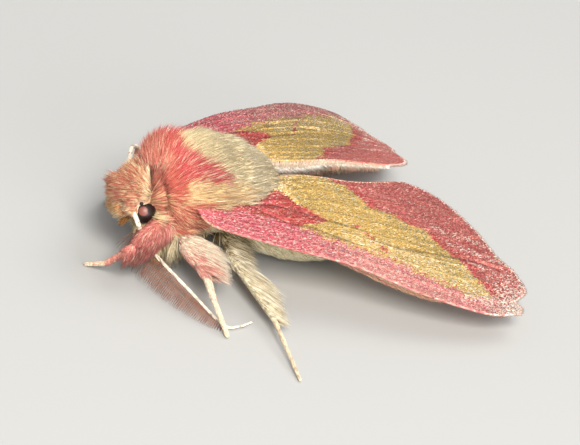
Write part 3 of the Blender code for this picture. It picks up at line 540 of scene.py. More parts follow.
COLLAR, DUSTY, BLUSH, BACK, YELLOW, FLANK, BELLY, SHADED_HIP, LIGHTENED_RUMP = range(9)
THORAX_MIXES = mixes(
    "5 d8907a be4840, 3 dc9c82 c45a4c, 1 e8bc98 d48c76, 2 c47c64 a83a36",  # collar
    "4 dca48c c46858, 3 e4b89c d08470, 2 c87464 b44e46, 1 ecd0b0 e8c8ac",  # dusty
    "6 d86c64 be4044, 3 dc8078 ca5052, 2 e8b09c d88878, 1 ecd0aa ecd6b8",  # blush
    "5 e6d0a0 e8d6ac, 3 d8c090 e0ca9c, 2 e0bc86 e6d0a4, 1 c0ac80 d0c098",  # back
    "5 dcb880 e6c690, 3 d6a878 deb684, 2 e8d0a0 f0dcb4, 1 cc8c64 d08e74",  # yellow
    "5 d4806c c0544a, 3 d89878 cc7460, 3 e4b890 e8c094, 1 e8c48c eec89c",  # flank
    "4 d6c49c e2d2ae, 3 e6d6b0 f0e2c2, 1 b8a47a c4b28a, 0.4 7a6440 5c4828",  # belly
    # The hip's dark browns are painted shade where the thorax meets the hind leg; the creams mixed in are
    # the hair's own.
    "3 7a6238 5c4826, 2 98865a 80683c, 2 c8b888 d8ca9c",  # hip
    # The rump's hair is cream, painted paler than the back as painted light against the coat's own shadow
    # there.
    "5 fce8b8 fff2d0, 3 f4dcac faeac4, 1 e6cc9c f0dcb0",  # rump
)
CROWN, SOCKET, FRONT, CHIN, SNOUT, CREST = range(6)
HEAD_MIXES = mixes(
    "4 f0ce9e d66e5c, 1 e4b88c c04c42, 5 f4deb4 f2daae, 2 e8bc88 d89a6e",  # crown
    "5 f6ecd8 fbf4e4, 2 ecd6bc f4e2cc",  # feeler socket
    "3 e09a64 d07848, 3 ecc08c e2a870, 4 f6dcb0 f2d4a0",  # front
    "5 f6e0b4 faeccc, 3 f0d0a0 eec898, 1 dc9c78 cc7c60",  # chin
    "4 a86c34 c48440, 3 7c5028 986434, 2 cc9050 e4b06c",  # snout
    "5 f0caa0 d06454, 2 e0aa88 bc4a42, 4 f2daae f0cea4",  # crest
)
ABDOMEN_MIXES = mixes("5 ecdcac f2e6c0, 3 f2e8c8 f8f0d8, 1 d0bc88 dccb9c")
ROSE_LEG, CREAM_LEG, PINK_LEG, PALE_LEG, FOOT, SHADED_THIGH = range(6)
LEG_MIXES = mixes(
    "5 e09888 d07068, 3 e8ac98 da887c, 2 cc7468 bc5854, 1 f0d0b8 ecc4b0",  # rose
    "5 eee2c8 f4ead2, 3 d4c0a4 e0ccb0, 1 dcb09c d4a090",  # cream
    "4 e0a896 cc8074, 3 d49080 bc6860, 3 e6ccb8 e0b4a0",  # pink
    "5 e4d6b4 efe6d0, 2 ccbc94 dccca8, 2 a08c64 b09c74",  # pale
    "5 ecd8b8 f4e4c8, 2 dcb896 e4c4a4",  # foot
    # The hind femur's dark browns near the hip are painted shade where it meets the thorax; the creams are
    # the hair's own.
    "3 6e5832 5c4826, 3 98865a a89868, 2 c8ba90 d8cca4",  # hip
)

def on_palps(points):
    """Which points lie on the palps."""
    start, end = (mirrored(np.array(p), np.sign(points[:, 1])) for p in PALP)
    way = end - start
    along = clamp(((points - start) * way).sum(-1) / (way**2).sum(-1))
    return norm(points - start - way * along[:, None]) < 0.20


def thorax_side(points):
    """The angle of points down from the top of the back, in degrees, as seen along the body."""
    offset = np.stack((points[:, 1], points[:, 2] - section(THORAX, points[:, 0])[0]), -1)
    return np.degrees(np.arccos(np.clip(unit(offset)[:, 1], -1, 1)))


def thorax_zone(points, rng):
    """Zone numbers of THORAX_MIXES for places on the visible coat of the thorax."""
    x = points[:, 0] + rng.normal(0, 0.09, len(points))
    side = thorax_side(points) + rng.normal(0, 3.5, len(points))
    # From tail to head over the top, then the shoulder's patch between the lines of top and flank.
    zone = np.full(len(x), BACK)
    # Behind, the rump's cream is painted paler, a painted light against the coat's own shadow.
    zone[x > 0.2 + rng.normal(0, 0.5, len(x))] = LIGHTENED_RUMP
    zone[x < -2.30] = COLLAR
    zone[(x < -2.85) & (side < 48)] = DUSTY
    zone[(x < -2.45) & (x > -3.05) & (side < 75)] = COLLAR
    top = along_table([(-3.1, 4), (-2.7, 6), (-2.3, 18), (-1.33, 33), (-0.5, 50)], x)
    zone[(x > -2.95) & (x < -0.45) & (side > top) & (side < 56)] = BLUSH
    zone[(x > -2.65) & (x < 0.5 + rng.normal(0, 0.25, len(x))) & (side >= 57) & (side < 90)] = YELLOW
    zone[(x < -1.2) & (side >= 82)] = FLANK
    # A pale streak behind the eye, then the underside, with painted shade at the hip.
    streak = np.abs(x + 3.30 - 0.45 * (3.0 - points[:, 2])) < 0.20
    zone[streak & (side > 78) & (points[:, 2] < 3.6)] = BACK
    low = points[:, 2] + rng.normal(0, 0.12, len(x))
    zone[(low < 2.3) | ((x >= -1.2) & (x < 0.5) & (side > 92))] = BELLY
    zone[(low < 2.3) & (x < -2.9)] = BACK
    # Dark brown at the hip is painted shade in the hollow by the hind leg's root.
    zone[(x > -0.7) & (x < 0.7) & (low < 2.5)] = SHADED_HIP
    return zone


def head_zone(points, rng):
    """Zone numbers of HEAD_MIXES for places on the visible coat of the head."""
    x, y, z = points.T
    fuzz = rng.normal(0, 0.07, len(x))
    zone = np.full(len(x), CROWN)
    zone[(z < 3.35 + fuzz) & (x < -4.55)] = FRONT
    zone[z < 2.80 + fuzz] = CHIN
    zone[(z > 3.60 + fuzz) & (x < -4.35 + fuzz)] = CREST
    zone[norm(points - mirrored(SCAPE, np.sign(y))) + fuzz < 0.40] = SOCKET
    # Cream hairs are mixed in behind, up to the collar.
    zone[(x > -4.1) & (rng.uniform(0, 1, len(x)) < 0.65)] = CHIN
    return zone


# Skin


def shaped_ball(bm, place):
    """A ball whose points are each put where `place` says, from its unit place with its poles on X."""
    made = bmesh.ops.create_uvsphere(bm, u_segments=40, v_segments=40, radius=1.0)["verts"]
    bmesh.ops.rotate(bm, cent=(0, 0, 0), matrix=Matrix.Rotation(math.radians(90), 3, "Y"), verts=made)
    moved = place(np.array([v.co for v in made]))
    for vert, point in zip(made, moved):
        vert.co = point


def body_ball(bm, stations, shrink, sideways=0.0, crease=0.0):
    """A body form as a ball drawn out along its stations, `shrink` inside, creased at its rings."""
    first, last = stations[0][0], stations[-1][0]

    def place(balls):
        x = first + (last - first) * (balls[:, 0] + 1) / 2
        middle, wide, tall = section(stations, x)
        round_ = np.sqrt(clamp(1 - np.abs(balls[:, 0]) ** 6)) * unit(balls[:, 1:]).T
        inset = shrink + crease * np.exp(-((np.sin(math.pi * (x - 2.2) / 0.95) / 0.35) ** 2))
        return np.stack((x, sideways + (wide - inset) * round_[0], middle + (tall - inset) * round_[1]), -1)

    shaped_ball(bm, place)


def rod(bm, start, end, first, last, segments=14):
    """A tapering rod between two points, with a round end."""
    start, end = Vector(start), Vector(end)
    ahead = end - start
    turn = ahead.to_track_quat("Z", "Y").to_matrix().to_4x4()
    place = Matrix.Translation((start + end) / 2) @ turn
    bmesh.ops.create_cone(bm, cap_ends=True, segments=segments, radius1=first, radius2=last,
                          depth=ahead.length, matrix=place)
    bmesh.ops.create_icosphere(bm, subdivisions=2, radius=last, matrix=Matrix.Translation(end))


def remeshed(bm, voxel, smoothing):
    """One closed surface round everything in the bmesh, voxel by voxel, then smoothed."""
    mesh = mesh_of("forms", bm)
    helper = bpy.data.objects.new("forms", mesh)
    bpy.context.scene.collection.objects.link(helper)
    remesh = helper.modifiers.new("wrap", "REMESH")
    remesh.mode = "VOXEL"
    remesh.voxel_size = voxel
    smooth = helper.modifiers.new("soften", "SMOOTH")
    smooth.iterations = smoothing
    smooth.factor = 0.5
    graph = bpy.context.evaluated_depsgraph_get()
    made = bpy.data.meshes.new_from_object(helper.evaluated_get(graph))
    bpy.data.objects.remove(helper, do_unlink=True)
    bpy.data.meshes.remove(mesh)
    return made


def chart_skin(mesh, points):
    """Gives each face its region and that region's chart, with no face torn across a seam."""
    corners = corners_of(mesh)
    sides = read(mesh.polygons, "loop_total", kind=np.int32)
    face = np.repeat(np.arange(len(sides)), sides)
    centre = np.stack([np.bincount(face, points[corners, k]) for k in range(3)], -1) / sides[:, None]
    region = region_of(centre)
    mesh.attributes.new("region", "INT", "FACE").data.foreach_set("value", region.astype(np.int32))
    chart = np.zeros((len(corners), 2))
    for number, name in enumerate(REGIONS):
        here = region[face] == number
        if here.any():
            along, around = chart_place(name, points[corners[here]])
            around = around - np.round(around - chart_place(name, centre[face[here]])[1])
            left, bottom, wide, tall = CHART[name]
            chart[here] = np.stack((left + wide * along, bottom + tall * (0.9 * around + 0.05)), -1)
    layer = mesh.uv_layers.new(name="OFBake")
    layer.data.foreach_set("uv", chart.astype(np.float32).ravel())


class MOTH_OT_skin(bpy.types.Operator):
    """Wraps head, thorax, abdomen, palps and legs in one skin, with no seams"""

    bl_idname = "moth.skin"
    bl_label = "Skin"

    SHADES = {"abdomen": "a89a70", "head": "d8b48c", "fore": "e0a490", "mid": "ecd2ba", "hind": "e6dab8"}

    def execute(self, context):
        bm = bmesh.new()
        body_ball(bm, THORAX, COAT_DEPTH)
        body_ball(bm, ABDOMEN, 0.14, ABDOMEN_SIDEWAYS, 0.05)
        shaped_ball(bm, lambda balls: HEAD_CENTRE + balls * (HEAD_RADII - COAT_DEPTH))
        shaped_ball(bm, lambda balls: BREAST_CENTRE + balls * (BREAST_RADII - COAT_DEPTH))
        # Neck and waist, then the palps and the sockets of the feelers.
        rod(bm, HEAD_CENTRE, (-3.0, 0.0, 3.9), 0.75, 1.0, 20)
        rod(bm, (1.2, 0.0, 2.4), (2.9, -0.1, 1.8), 1.1, 1.1, 20)
        for sign in SIDES.values():
            rod(bm, *(np.array(p) * (1, sign, 1) for p in PALP), 0.11, 0.06)
            rod(bm, (-4.30, 0.66 * sign, 3.62), (-4.52, 1.06 * sign, 3.40), 0.20, 0.14)
        for name in REGIONS[3:]:
            self.limb(bm, name)
        mesh = remeshed(bm, context.scene.moth_coat.skin_grain / MM, 4)
        points = read(mesh.vertices, "co", 3)
        points[:, 2] = np.maximum(points[:, 2], FLOOR_GAP / 2)
        chart_skin(mesh, points)
        finish(mesh, points, self.tint(points))
        nodes = [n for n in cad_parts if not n.startswith(("forewing", "hindwing", "antenna", "eye"))]
        add_piece("skin", mesh, look("scaled_skin"), nodes)
        return {"FINISHED"}

    def limb(self, bm, name):
        """A limb's rod, the bulk of a femur and the hip that joins it to the breast."""
        start, end, _, _, _, kind = limb_axes(name)
        first, last = LIMB_RADII[kind]
        if kind.startswith("tarsus"):
            end = end + np.array((0.0, 0.0, last - 0.04))
        rod(bm, start, end, first, last)
        if kind.startswith("femur"):
            rod(bm, (start[0], start[1] * 0.3, 2.5), start, 0.5, first)
        if kind in BULK:
            centre, axes = bulk_form(name)
            shaped_ball(bm, lambda balls: centre + balls @ axes)

    def tint(self, points):
        """The colour of the skin under the coat, by the coat's own zones, darkened on the thorax as painted
        shade under the coat.
        """
        rng = np.random.default_rng(5)
        region = region_of(points)
        # On the thorax the skin is darkened to three quarters, a painted shade for the shadow of the coat
        # over it.
        tint = dye_and_shade(rng, thorax_zone(points, rng), THORAX_MIXES, 0.75)[0]
        for number, name in enumerate(REGIONS[1:], 1):
            kind = name.split("_")[1] if "_" in name else name
            tint[region == number] = linear(self.SHADES[kind])
        return tint


# Coat

# How dark a hair's root is painted, as painted shade deep in the coat, and the height and x that part the
# breast's coat from the thorax's.
PAINTED_ROOT_SHADE = 0.85
BREAST_TOP, THROAT = 2.35, -3.2


def skin_roots(names, density, seed, weight=None):
    """Roots over regions of the skin, so many to a square mm, with their normals and chart places."""
    mesh = bpy.data.objects["skin"].data
    mesh.calc_loop_triangles()
    corner = read(mesh.loop_triangles, "loops", 3, np.int32).astype(int)
    vertex = corners_of(mesh)[corner]
    region = read(mesh.attributes["region"].data, "value", kind=np.int32)
    region = region[read(mesh.loop_triangles, "polygon_index", kind=np.int32)]
    chosen = np.isin(region, [REGIONS.index(n) for n in names])
    corner, vertex = corner[chosen], vertex[chosen]
    points = (read(mesh.vertices, "co", 3) / MM + HOME)[vertex]
    normals = read(mesh.vertices, "normal", 3)[vertex]
    charts = read(mesh.uv_layers["OFBake"].data, "uv", 2)[corner]
    area = norm(np.cross(points[:, 1] - points[:, 0], points[:, 2] - points[:, 0])) / 2
    if weight is not None:
        area = area * weight(points.mean(1))
    total = np.cumsum(area * density)
    rng = np.random.default_rng(seed)
    spots = np.arange(int(total[-1]))
    pick = np.minimum(np.searchsorted(total, spots + rng.uniform(0, 1, len(spots))), len(total) - 1)
    a, b = rng.uniform(0, 1, (2, len(pick)))
    a, b = np.where(a + b > 1, 1 - a, a), np.where(a + b > 1, 1 - b, b)
    parts = np.stack((1 - a - b, a, b), 1)[:, :, None]
    return (points[pick] * parts).sum(1), unit((normals[pick] * parts).sum(1)), (charts[pick] * parts).sum(1)


def lay(normal, flow, lift, curl):
    """Directions at a hair's root and tip: along the flow on the surface, lifted by so many degrees."""
    flow = unit(flow - normal * (flow * normal).sum(-1, keepdims=True))
    lift, curl = (np.radians(np.broadcast_to(v, (len(normal),)))[:, None] for v in (lift, curl))
    return flow * np.cos(lift) + normal * np.sin(lift), flow * np.cos(curl) + normal * np.sin(curl)


def gathered(rng, root, leave, arrive, length, pull, each=16):
    """Tip directions drawn towards the tip of a near guide hair, so that the hairs form fine locks."""
    guides = rng.choice(len(root), max(len(root) // each, 1), replace=False)
    tree = kdtree.KDTree(len(guides))
    for number, guide in enumerate(guides):
        tree.insert(root[guide], number)
    tree.balance()
    near = guides[[tree.find(point)[1] for point in root]]
    tip = root + length[:, None] * (leave + arrive) / 2
    target = tip[near] + 0.3 * (root - root[near])
    return arrive + 2 * pull * (target - tip) / length[:, None]


def add_hair(name, roots, lies, length, width, zoned, table, rng, pull, bends=2):
    """One coat piece from its roots, the directions at root and tip, and the zones of its visible part."""
    root, normal, chart = roots
    leave, arrive = lies
    arrive = gathered(rng, root, leave, arrive, length, pull)
    seen = root + length[:, None] * 0.3 * (leave + arrive)
    colours = dye_and_shade(rng, zoned(seen, rng), table, PAINTED_ROOT_SHADE)
    wide = width * rng.uniform(0.7, 1.25, len(root))
    mesh = tufts(name, root, leave, arrive, normal, length, wide, colours, chart, bends=bends)
    add_piece(name, mesh, look("hair_scales"))


class MOTH_OT_body_coat(bpy.types.Operator):
    """Combs the long coat of the head, collar, back, flanks, breast and abdomen over the skin"""

    bl_idname = "moth.body_coat"
    bl_label = "Body coat"

    # Thorax pieces: x from and to. Then the hair's length at places along the thorax, all in mm.
    PARTS = {"collar": (-9.0, -2.60), "shoulders": (-2.60, -1.20), "back": (-1.20, 0.60),
             "rump": (0.60, 9.0)}
    LENGTHS = [(-3.6, 1.32), (-2.6, 1.15), (-0.5, 1.20), (0.8, 1.35), (2.2, 1.60)]

    def execute(self, context):
        sizes = context.scene.moth_coat
        width = sizes.hair_width / MM
        crest, eye_radius = sizes.crest_length / MM, context.scene.moth_looks.eye_radius / MM
        for number, part in enumerate(self.PARTS):
            self.thorax(part, sizes.coat_density, width, np.random.default_rng(100 + number))
        self.breast(sizes.coat_density, width)
        self.head(sizes.coat_density, width, crest, eye_radius)
        self.palps(sizes.coat_density, width)
        self.abdomen(width)
        return {"FINISHED"}

    def thorax(self, part, density, width, rng):
        """One length of the thorax's coat, which streams back from the neck and stands up as a collar."""
        first, last = self.PARTS[part]

        def weight(points):
            x, y, z = points.T
            wanted = (x >= first) & (x < last) & ~on_palps(points) & ((z > BREAST_TOP) | (x < THROAT))
            # Few hairs are needed under the wings, and the collar has the most.
            covered = (x > -1.0) & (np.abs(y) > 1.2) & (z < 4.0)
            return wanted * np.where(covered, 0.35, 1.0) * np.where(x < -2.8, 2.1, 1.0)

        roots = skin_roots(("thorax",), density * 1.5, rng, weight)
        root, normal, _ = roots
        count = len(root)
        x, side = root[:, 0], thorax_side(root)
        neck = mirrored(NECK, np.clip(root[:, 1] / 1.2, -1, 1))
        front = clamp((-2.2 - x) / 1.0)
        flow = unit(root - neck) + np.array((0.75, 0.0, 0.0)) + front[:, None] * np.array((-0.55, 0.0, 0.35))
        # The collar stands up on top, and behind it the hair lies down and grows ragged at the rump.
        upper = clamp((70 - side) / 40)
        lift = 26 + 56 * front * upper + rng.normal(0, 7, count)
        curl = 4 - 5 * clamp(x) + 56 * front * upper + rng.normal(0, 6, count)
        lies = lay(normal, unit(flow) + rng.normal(0, 0.09, (count, 3)), lift, curl)
        ragged = rng.uniform(0.65, 1.10, count) - clamp(x - 0.6) * rng.uniform(0, 0.35, count)
        long = along_table(self.LENGTHS, x) * ragged * np.where(side > 100, 0.8, 1.0)
        add_hair(f"coat_{part}", roots, lies, long, width * 0.9, thorax_zone, THORAX_MIXES,
                 rng, 0.16)

    def breast(self, density, width):
        """Long loose hair that hangs from the breast."""
        rng = np.random.default_rng(120)
        roots = skin_roots(("thorax",), density * 0.6, rng,
                           lambda p: (p[:, 2] <= BREAST_TOP) & (p[:, 0] >= THROAT))
        root, normal, _ = roots
        count = len(root)
        flow = np.array((0.45, 0.0, -1.0)) + rng.normal(0, 0.12, (count, 3))
        lies = lay(normal, flow, 30 + rng.normal(0, 8, count), 14)
        long = rng.uniform(1.0, 1.8, count)
        add_hair("coat_breast", roots, lies, long, width, thorax_zone, THORAX_MIXES, rng, 0.6)

    def head(self, density, width, crest, eye_radius):
        """Hair that bursts from the middle of the head, short at the eyes and the feelers' sockets."""
        rng = np.random.default_rng(200)

        def off_eyes(points):
            eye = mirrored(EYE_PLACE, np.sign(points[:, 1]))
            return (norm(points - eye) > eye_radius - 0.02) & ~on_palps(points)

        roots = skin_roots(("head",), density * 3.0, rng, off_eyes)
        root, normal, _ = roots
        count = len(root)
        signs = np.sign(root[:, 1])
        way = unit(root - mirrored(TUFT_CENTRE, root[:, 1])) + rng.normal(0, 0.07, (count, 3))
        way = unit(way + normal * np.maximum(0.30 - (way * normal).sum(-1), 0)[:, None])
        lies = way, unit(way + np.array((-0.20, 0.0, -0.06)) + rng.normal(0, 0.05, (count, 3)))
        # Longest on the crown, and short round the feelers' sockets and the eyes.
        crown = clamp(normal[:, 2])
        long = crest * (0.55 + 0.45 * crown) * rng.uniform(0.55, 1.12, count)
        scape = norm(root - mirrored(SCAPE, signs))
        rim = norm(root - mirrored(EYE_CENTRE, signs)) - eye_radius
        long = long * np.where(scape < 0.42, 0.6, 1.0) * np.clip(0.40 + rim / 0.40, 0.45, 1.0)
        add_hair("coat_head", roots, lies, long, width * 0.85, head_zone, HEAD_MIXES, rng, 0.32)

    def palps(self, density, width):
        """Short bristles along the palps."""
        rng = np.random.default_rng(230)
        roots = skin_roots(("head", "thorax"), density * 3.0, rng, on_palps)
        root, normal, _ = roots
        axis = mirrored(np.subtract(PALP[1], PALP[0]), np.sign(root[:, 1]))
        lies = lay(normal, axis + rng.normal(0, 0.16, root.shape), 34, 16)
        long = rng.uniform(0.16, 0.40, len(root))
        add_hair("coat_palps", roots, lies, long, width,
                 lambda p, rng: np.full(len(p), SNOUT), HEAD_MIXES, rng, 0.3)

    def abdomen(self, width):
        """Short flat hair along the abdomen, longer in a brush at its tip."""
        rng = np.random.default_rng(240)
        roots = skin_roots(("abdomen",), 230, rng)
        root, normal, _ = roots
        count = len(root)
        flow = np.array((1.0, 0.0, -0.1)) + rng.normal(0, 0.10, (count, 3))
        lies = lay(normal, flow, 20 + rng.normal(0, 6, count), 6)
        long = np.where(root[:, 0] > 7.4, 0.75, 0.36) * rng.uniform(0.75, 1.1, count)
        add_hair("coat_abdomen", roots, lies, long, width * 1.5,
                 lambda p, rng: np.zeros(len(p), int), ABDOMEN_MIXES, rng, 0.5, 1)


class MOTH_OT_leg_coat(bpy.types.Operator):
    """Clothes each limb in close scales and gives femurs and tibiae their long hair"""

    bl_idname = "moth.leg_coat"
    bl_label = "Leg coat"

    # Hair by limb: how dense, length in mm on the leading and the trailing side, the share of it at the
    # far end, and the parts ahead and out in its lie.
    FUR = {"femur_fore": (2.30, 0.42, 1.10, 0.86, 0.60, 0.85),
           "tibia_fore": (2.00, 0.12, 0.52, 0.42, 0.98, 0.32),
           "tarsus_fore": (1.20, 0.10, 0.18, 0.60, 1.00, 0.05),
           "femur_mid": (2.20, 0.40, 1.80, 0.70, 0.74, 0.68),
           "tibia_mid": (1.20, 0.11, 0.36, 0.25, 1.00, 0.20),
           "tarsus_mid": (1.00, 0.10, 0.13, 0.70, 1.00, 0.02),
           "femur_hind": (1.80, 0.30, 1.25, 0.90, 0.55, 0.85),
           "tibia_hind": (2.20, 0.18, 2.30, 0.36, 0.98, 0.56),
           "tarsus_hind": (1.00, 0.10, 0.13, 0.70, 1.00, 0.02)}

    def execute(self, context):
        sizes = context.scene.moth_coat
        for number, leg in enumerate(LEGS):
            rng = np.random.default_rng(300 + number)
            # The far legs are hidden in the photographed view and are haired more thinly.
            share = 1.0 if leg.endswith("left") else 0.6
            limbs = [self.limb(f"{limb}_{leg}", rng, sizes.coat_density * share) for limb in LIMBS]
            root, normal, chart, leave, arrive, long, zone = (np.concatenate(c) for c in zip(*limbs))
            add_hair(f"coat_{leg}", (root, normal, chart), (leave, arrive), long,
                     sizes.hair_width / MM * 0.85, lambda p, rng: zone, LEG_MIXES, rng, 0.12)
        return {"FINISHED"}

    def limb(self, name, rng, density):
        """Roots, directions, lengths and zones of one limb's hair, longest on its trailing side."""
        start, end, ahead, trail, _, kind = limb_axes(name)
        dense, short, far, ending, forward, outward = self.FUR[kind]
        root, normal, chart = skin_roots((name,), density * dense, rng)
        count = len(root)
        share = clamp((root - start) @ ahead / np.linalg.norm(end - start))
        behind = (normal @ trail + 1) / 2
        long = (short + (far - short) * behind**0.8) * (1 + (ending - 1) * share)
        long = long * rng.uniform(0.50, 1.14, count)
        leave = self.lie(normal, ahead * forward + trail * outward, 0.08 + 0.20 * behind, rng)
        arrive = self.lie(normal, ahead * (forward + 0.25) + trail * outward * 0.85, -0.05, rng)
        return root, normal, chart, leave, arrive, long, self.zone(kind, share, behind, rng)

    def lie(self, normal, way, least, rng):
        """The way given, turned so that it leaves the limb by at least so much, with a little disorder."""
        out = normal @ way
        turned = way + normal * np.maximum(least - out, 0)[:, None]
        return unit(turned + rng.normal(0, 0.055, turned.shape))

    def zone(self, kind, share, behind, rng):
        """Zone numbers of LEG_MIXES for places along and round a limb."""
        limb, leg = kind.split("_")
        if limb == "tarsus":
            return np.full(len(share), FOOT)
        # Near the hip the hind femur takes dark browns, painted shade where it meets the thorax.
        if kind == "femur_hind":
            return np.where(share + rng.normal(0, 0.2, len(share)) < 0.55, SHADED_THIGH, PALE_LEG)
        if leg != "mid":
            return np.full(len(share), ROSE_LEG if leg == "fore" else PALE_LEG)
        pink = {"femur": 0.75 * share + 0.60 * (1 - behind), "tibia": 0.9 - 1.2 * share}[limb]
        return np.where(pink + rng.normal(0, 0.16, len(share)) > 0.84, PINK_LEG, CREAM_LEG)


# Eyes and feelers


def feeler_chart(points):
    """Chart places of points on a feeler, by height and by the way across."""
    return np.stack((points[:, 2] / 6 + 0.1, points[:, 1] / 14 + 0.5), -1)


class MOTH_OT_eyes(bpy.types.Operator):
    """Makes the two compound eyes and the small bare ocellus above each"""

    bl_idname = "moth.eyes"
    bl_label = "Eyes"

    # The way the painted reflection on each eye faces, and the cosine at its edge with how softly it ends
    # there.
    GAZE = (-0.48, 0.67, 0.57)
    GLOW_EDGE, GLOW_SOFT = 0.912, 0.012
    OCELLUS_RADIUS = 0.085

    def execute(self, context):
        looks = context.scene.moth_looks
        bm = bmesh.new()
        for sign in SIDES.values():
            eye = Matrix.Translation(EYE_PLACE * (1, sign, 1))
            bmesh.ops.create_uvsphere(bm, u_segments=64, v_segments=48, radius=looks.eye_radius / MM,
                                      matrix=eye)
            spot = Matrix.Translation(OCELLUS * (1, sign, 1))
            bmesh.ops.create_uvsphere(bm, u_segments=16, v_segments=12, radius=self.OCELLUS_RADIUS,
                                      matrix=spot)
        mesh = mesh_of("eyes", bm)
        points = read(mesh.vertices, "co", 3)
        signs = np.sign(points[:, 1])
        # A painted reflection: a soft mauve-brown disc on the side of each eye, where its pseudopupil shows.
        out = unit(points - mirrored(EYE_PLACE, signs))
        gaze = mirrored(unit(np.array(self.GAZE)), signs)
        shine = clamp(((out * gaze).sum(-1) - self.GLOW_EDGE) / self.GLOW_SOFT)[:, None]
        shine[norm(points - mirrored(OCELLUS, signs)) < 0.1] = 0
        chart = np.stack((0.25 + 0.2 * out[:, 0] + 0.5 * (signs > 0), 0.5 + 0.4 * out[:, 2]), -1)
        tint = np.array(looks.eye_colour) * (1 - shine) + np.array(looks.shine_colour) * shine
        finish(mesh, points, tint, chart)
        add_piece("eyes", mesh, eye_material(looks.facet_size), ["eye_left", "eye_right"])
        return {"FINISHED"}


class MOTH_OT_feelers(bpy.types.Operator):
    """Makes each feeler: a white-scaled shaft with two rows of fine red-brown filaments"""

    bl_idname = "moth.feelers"
    bl_label = "Feelers"

    RINGS, BASE_RINGS = 130, 12

    def execute(self, context):
        sizes = context.scene.moth_coat
        for number, side in enumerate(SIDES):
            self.shaft(side, sizes.shaft_radius / MM, np.array(context.scene.moth_looks.shaft_colour))
            self.comb(side, sizes, np.random.default_rng(400 + number))
        return {"FINISHED"}

    def shaft(self, side, radius, colour):
        """The shaft as one extruded tube, thicker over its first rings, pale with a few dark scales."""
        share = np.linspace(0, 1, self.RINGS)
        path = smooth_line(ANTENNAE[side], share)
        thick = radius * (1 - 0.62 * share**1.2)
        thick[:self.BASE_RINGS] *= np.linspace(1.35, 1.0, self.BASE_RINGS)
        path[:, 2] = np.maximum(path[:, 2], thick + FLOOR_GAP)
        ahead = np.gradient(path, axis=0)
        bm = bmesh.new()
        bmesh.ops.create_circle(bm, segments=10, radius=1.0, cap_ends=True)
        face = bm.faces[:][0]
        rest = [v.co.copy() for v in face.verts]
        for k in range(len(path)):
            if k:
                made = bmesh.ops.extrude_face_region(bm, geom=[face])["geom"]
                face = [g for g in made if isinstance(g, bmesh.types.BMFace)][0]
            turn = Vector(ahead[k]).to_track_quat("Z", "Y").to_matrix()
            for vert, corner in zip(face.verts, rest):
                vert.co = Vector(path[k]) + turn @ (corner * thick[k])
        bmesh.ops.recalc_face_normals(bm, faces=bm.faces)
        mesh = mesh_of(f"feeler_{side}", bm)
        points = read(mesh.vertices, "co", 3)
        rng = np.random.default_rng(9)
        speck = rng.uniform(0, 1, (len(points), 1)) < 0.07
        pale = colour * rng.uniform(0.88, 1.05, (len(points), 1))
        finish(mesh, points, np.where(speck, linear("6a5244"), pale), feeler_chart(points))
        add_piece(f"feeler_{side}", mesh, look("flat_scales"), [f"antenna_{side}"])

    def comb(self, side, sizes, rng):
        """The filaments of both rows, evenly spaced along the shaft."""
        fine = np.linspace(0, 1, 2000)
        walked = norm(np.diff(smooth_line(ANTENNAE[side], fine), axis=0))
        share = np.concatenate(((0,), np.cumsum(walked))) / walked.sum()
        strands = []
        for row, (first, last) in zip(COMB_ROWS[side], COMB_SPAN[side]):
            spots = np.arange(first, last, sizes.comb_spacing / MM / walked.sum())
            places = np.interp(spots, share, fine)
            middle = smooth_line(ANTENNAE[side], places)
            ahead = unit(smooth_line(ANTENNAE[side], places + 0.01) - middle)
            long = along_table(COMB_LENGTHS, spots)
            out = np.tile(row, (len(spots), 1)).astype(float)
            out[:, 2] = np.maximum(out[:, 2], (0.05 - middle[:, 2]) / long)
            out = unit(out - ahead * (out * ahead).sum(-1, keepdims=True))
            leave = unit(out + ahead * 0.10 + rng.normal(0, 0.008, out.shape))
            arrive = unit(out * 0.9 + ahead * 0.50 + rng.normal(0, 0.010, out.shape))
            strands.append((middle, leave, arrive, ahead, long * rng.uniform(0.94, 1.05, len(spots))))
        root, leave, arrive, flat, long = (np.concatenate(c) for c in zip(*strands))
        browns = mixes("3 96604a 8a4e34, 2 a8704e 94583c")
        colours = dye_and_shade(rng, np.zeros(len(root), int), browns, 1.0)
        mesh = tufts(f"comb_{side}", root, leave, arrive, flat, long, sizes.comb_width / MM, colours,
                     feeler_chart(root), sunk=0.02, bends=4, thin=0.9)
        add_piece(f"comb_{side}", mesh, look("bare_chitin"))


# Wings


def outline_point(outline, along, across):
    """A wing outline's x and y, from hinge to termen (0 to 1) and costa to inner margin (0 to 1)."""
    costa, termen, inner = outline
    a, c = along[..., None], across[..., None]
    corners = [np.array(p) for p in (costa[0], costa[-1], inner[0], inner[-1])]
    front, back = smooth_line(costa, along), smooth_line(inner, along)
    root, end = corners[0] + (corners[2] - corners[0]) * c, smooth_line(termen, across)
    flat = (corners[0] * (1 - a) + corners[1] * a) * (1 - c) + (corners[2] * (1 - a) + corners[3] * a) * c
    return front * (1 - c) + back * c + root * (1 - a) + end * a - flat


def wing_plan(wing, along, across):
    """A place on a wing's membrane, which ends short of the outline by the fringe's room."""
    short, narrow = FRINGE_ROOM[wing]
    notch = 0.0
    if wing == "fore":
        notch = NOTCH_DEPTH * np.exp(-(((across - NOTCH_PLACE) / NOTCH_WIDTH) ** 2)) * clamp(8 * along - 7)
    return outline_point(OUTLINES[wing], along * (1 - short) - notch, across * (1 - narrow))


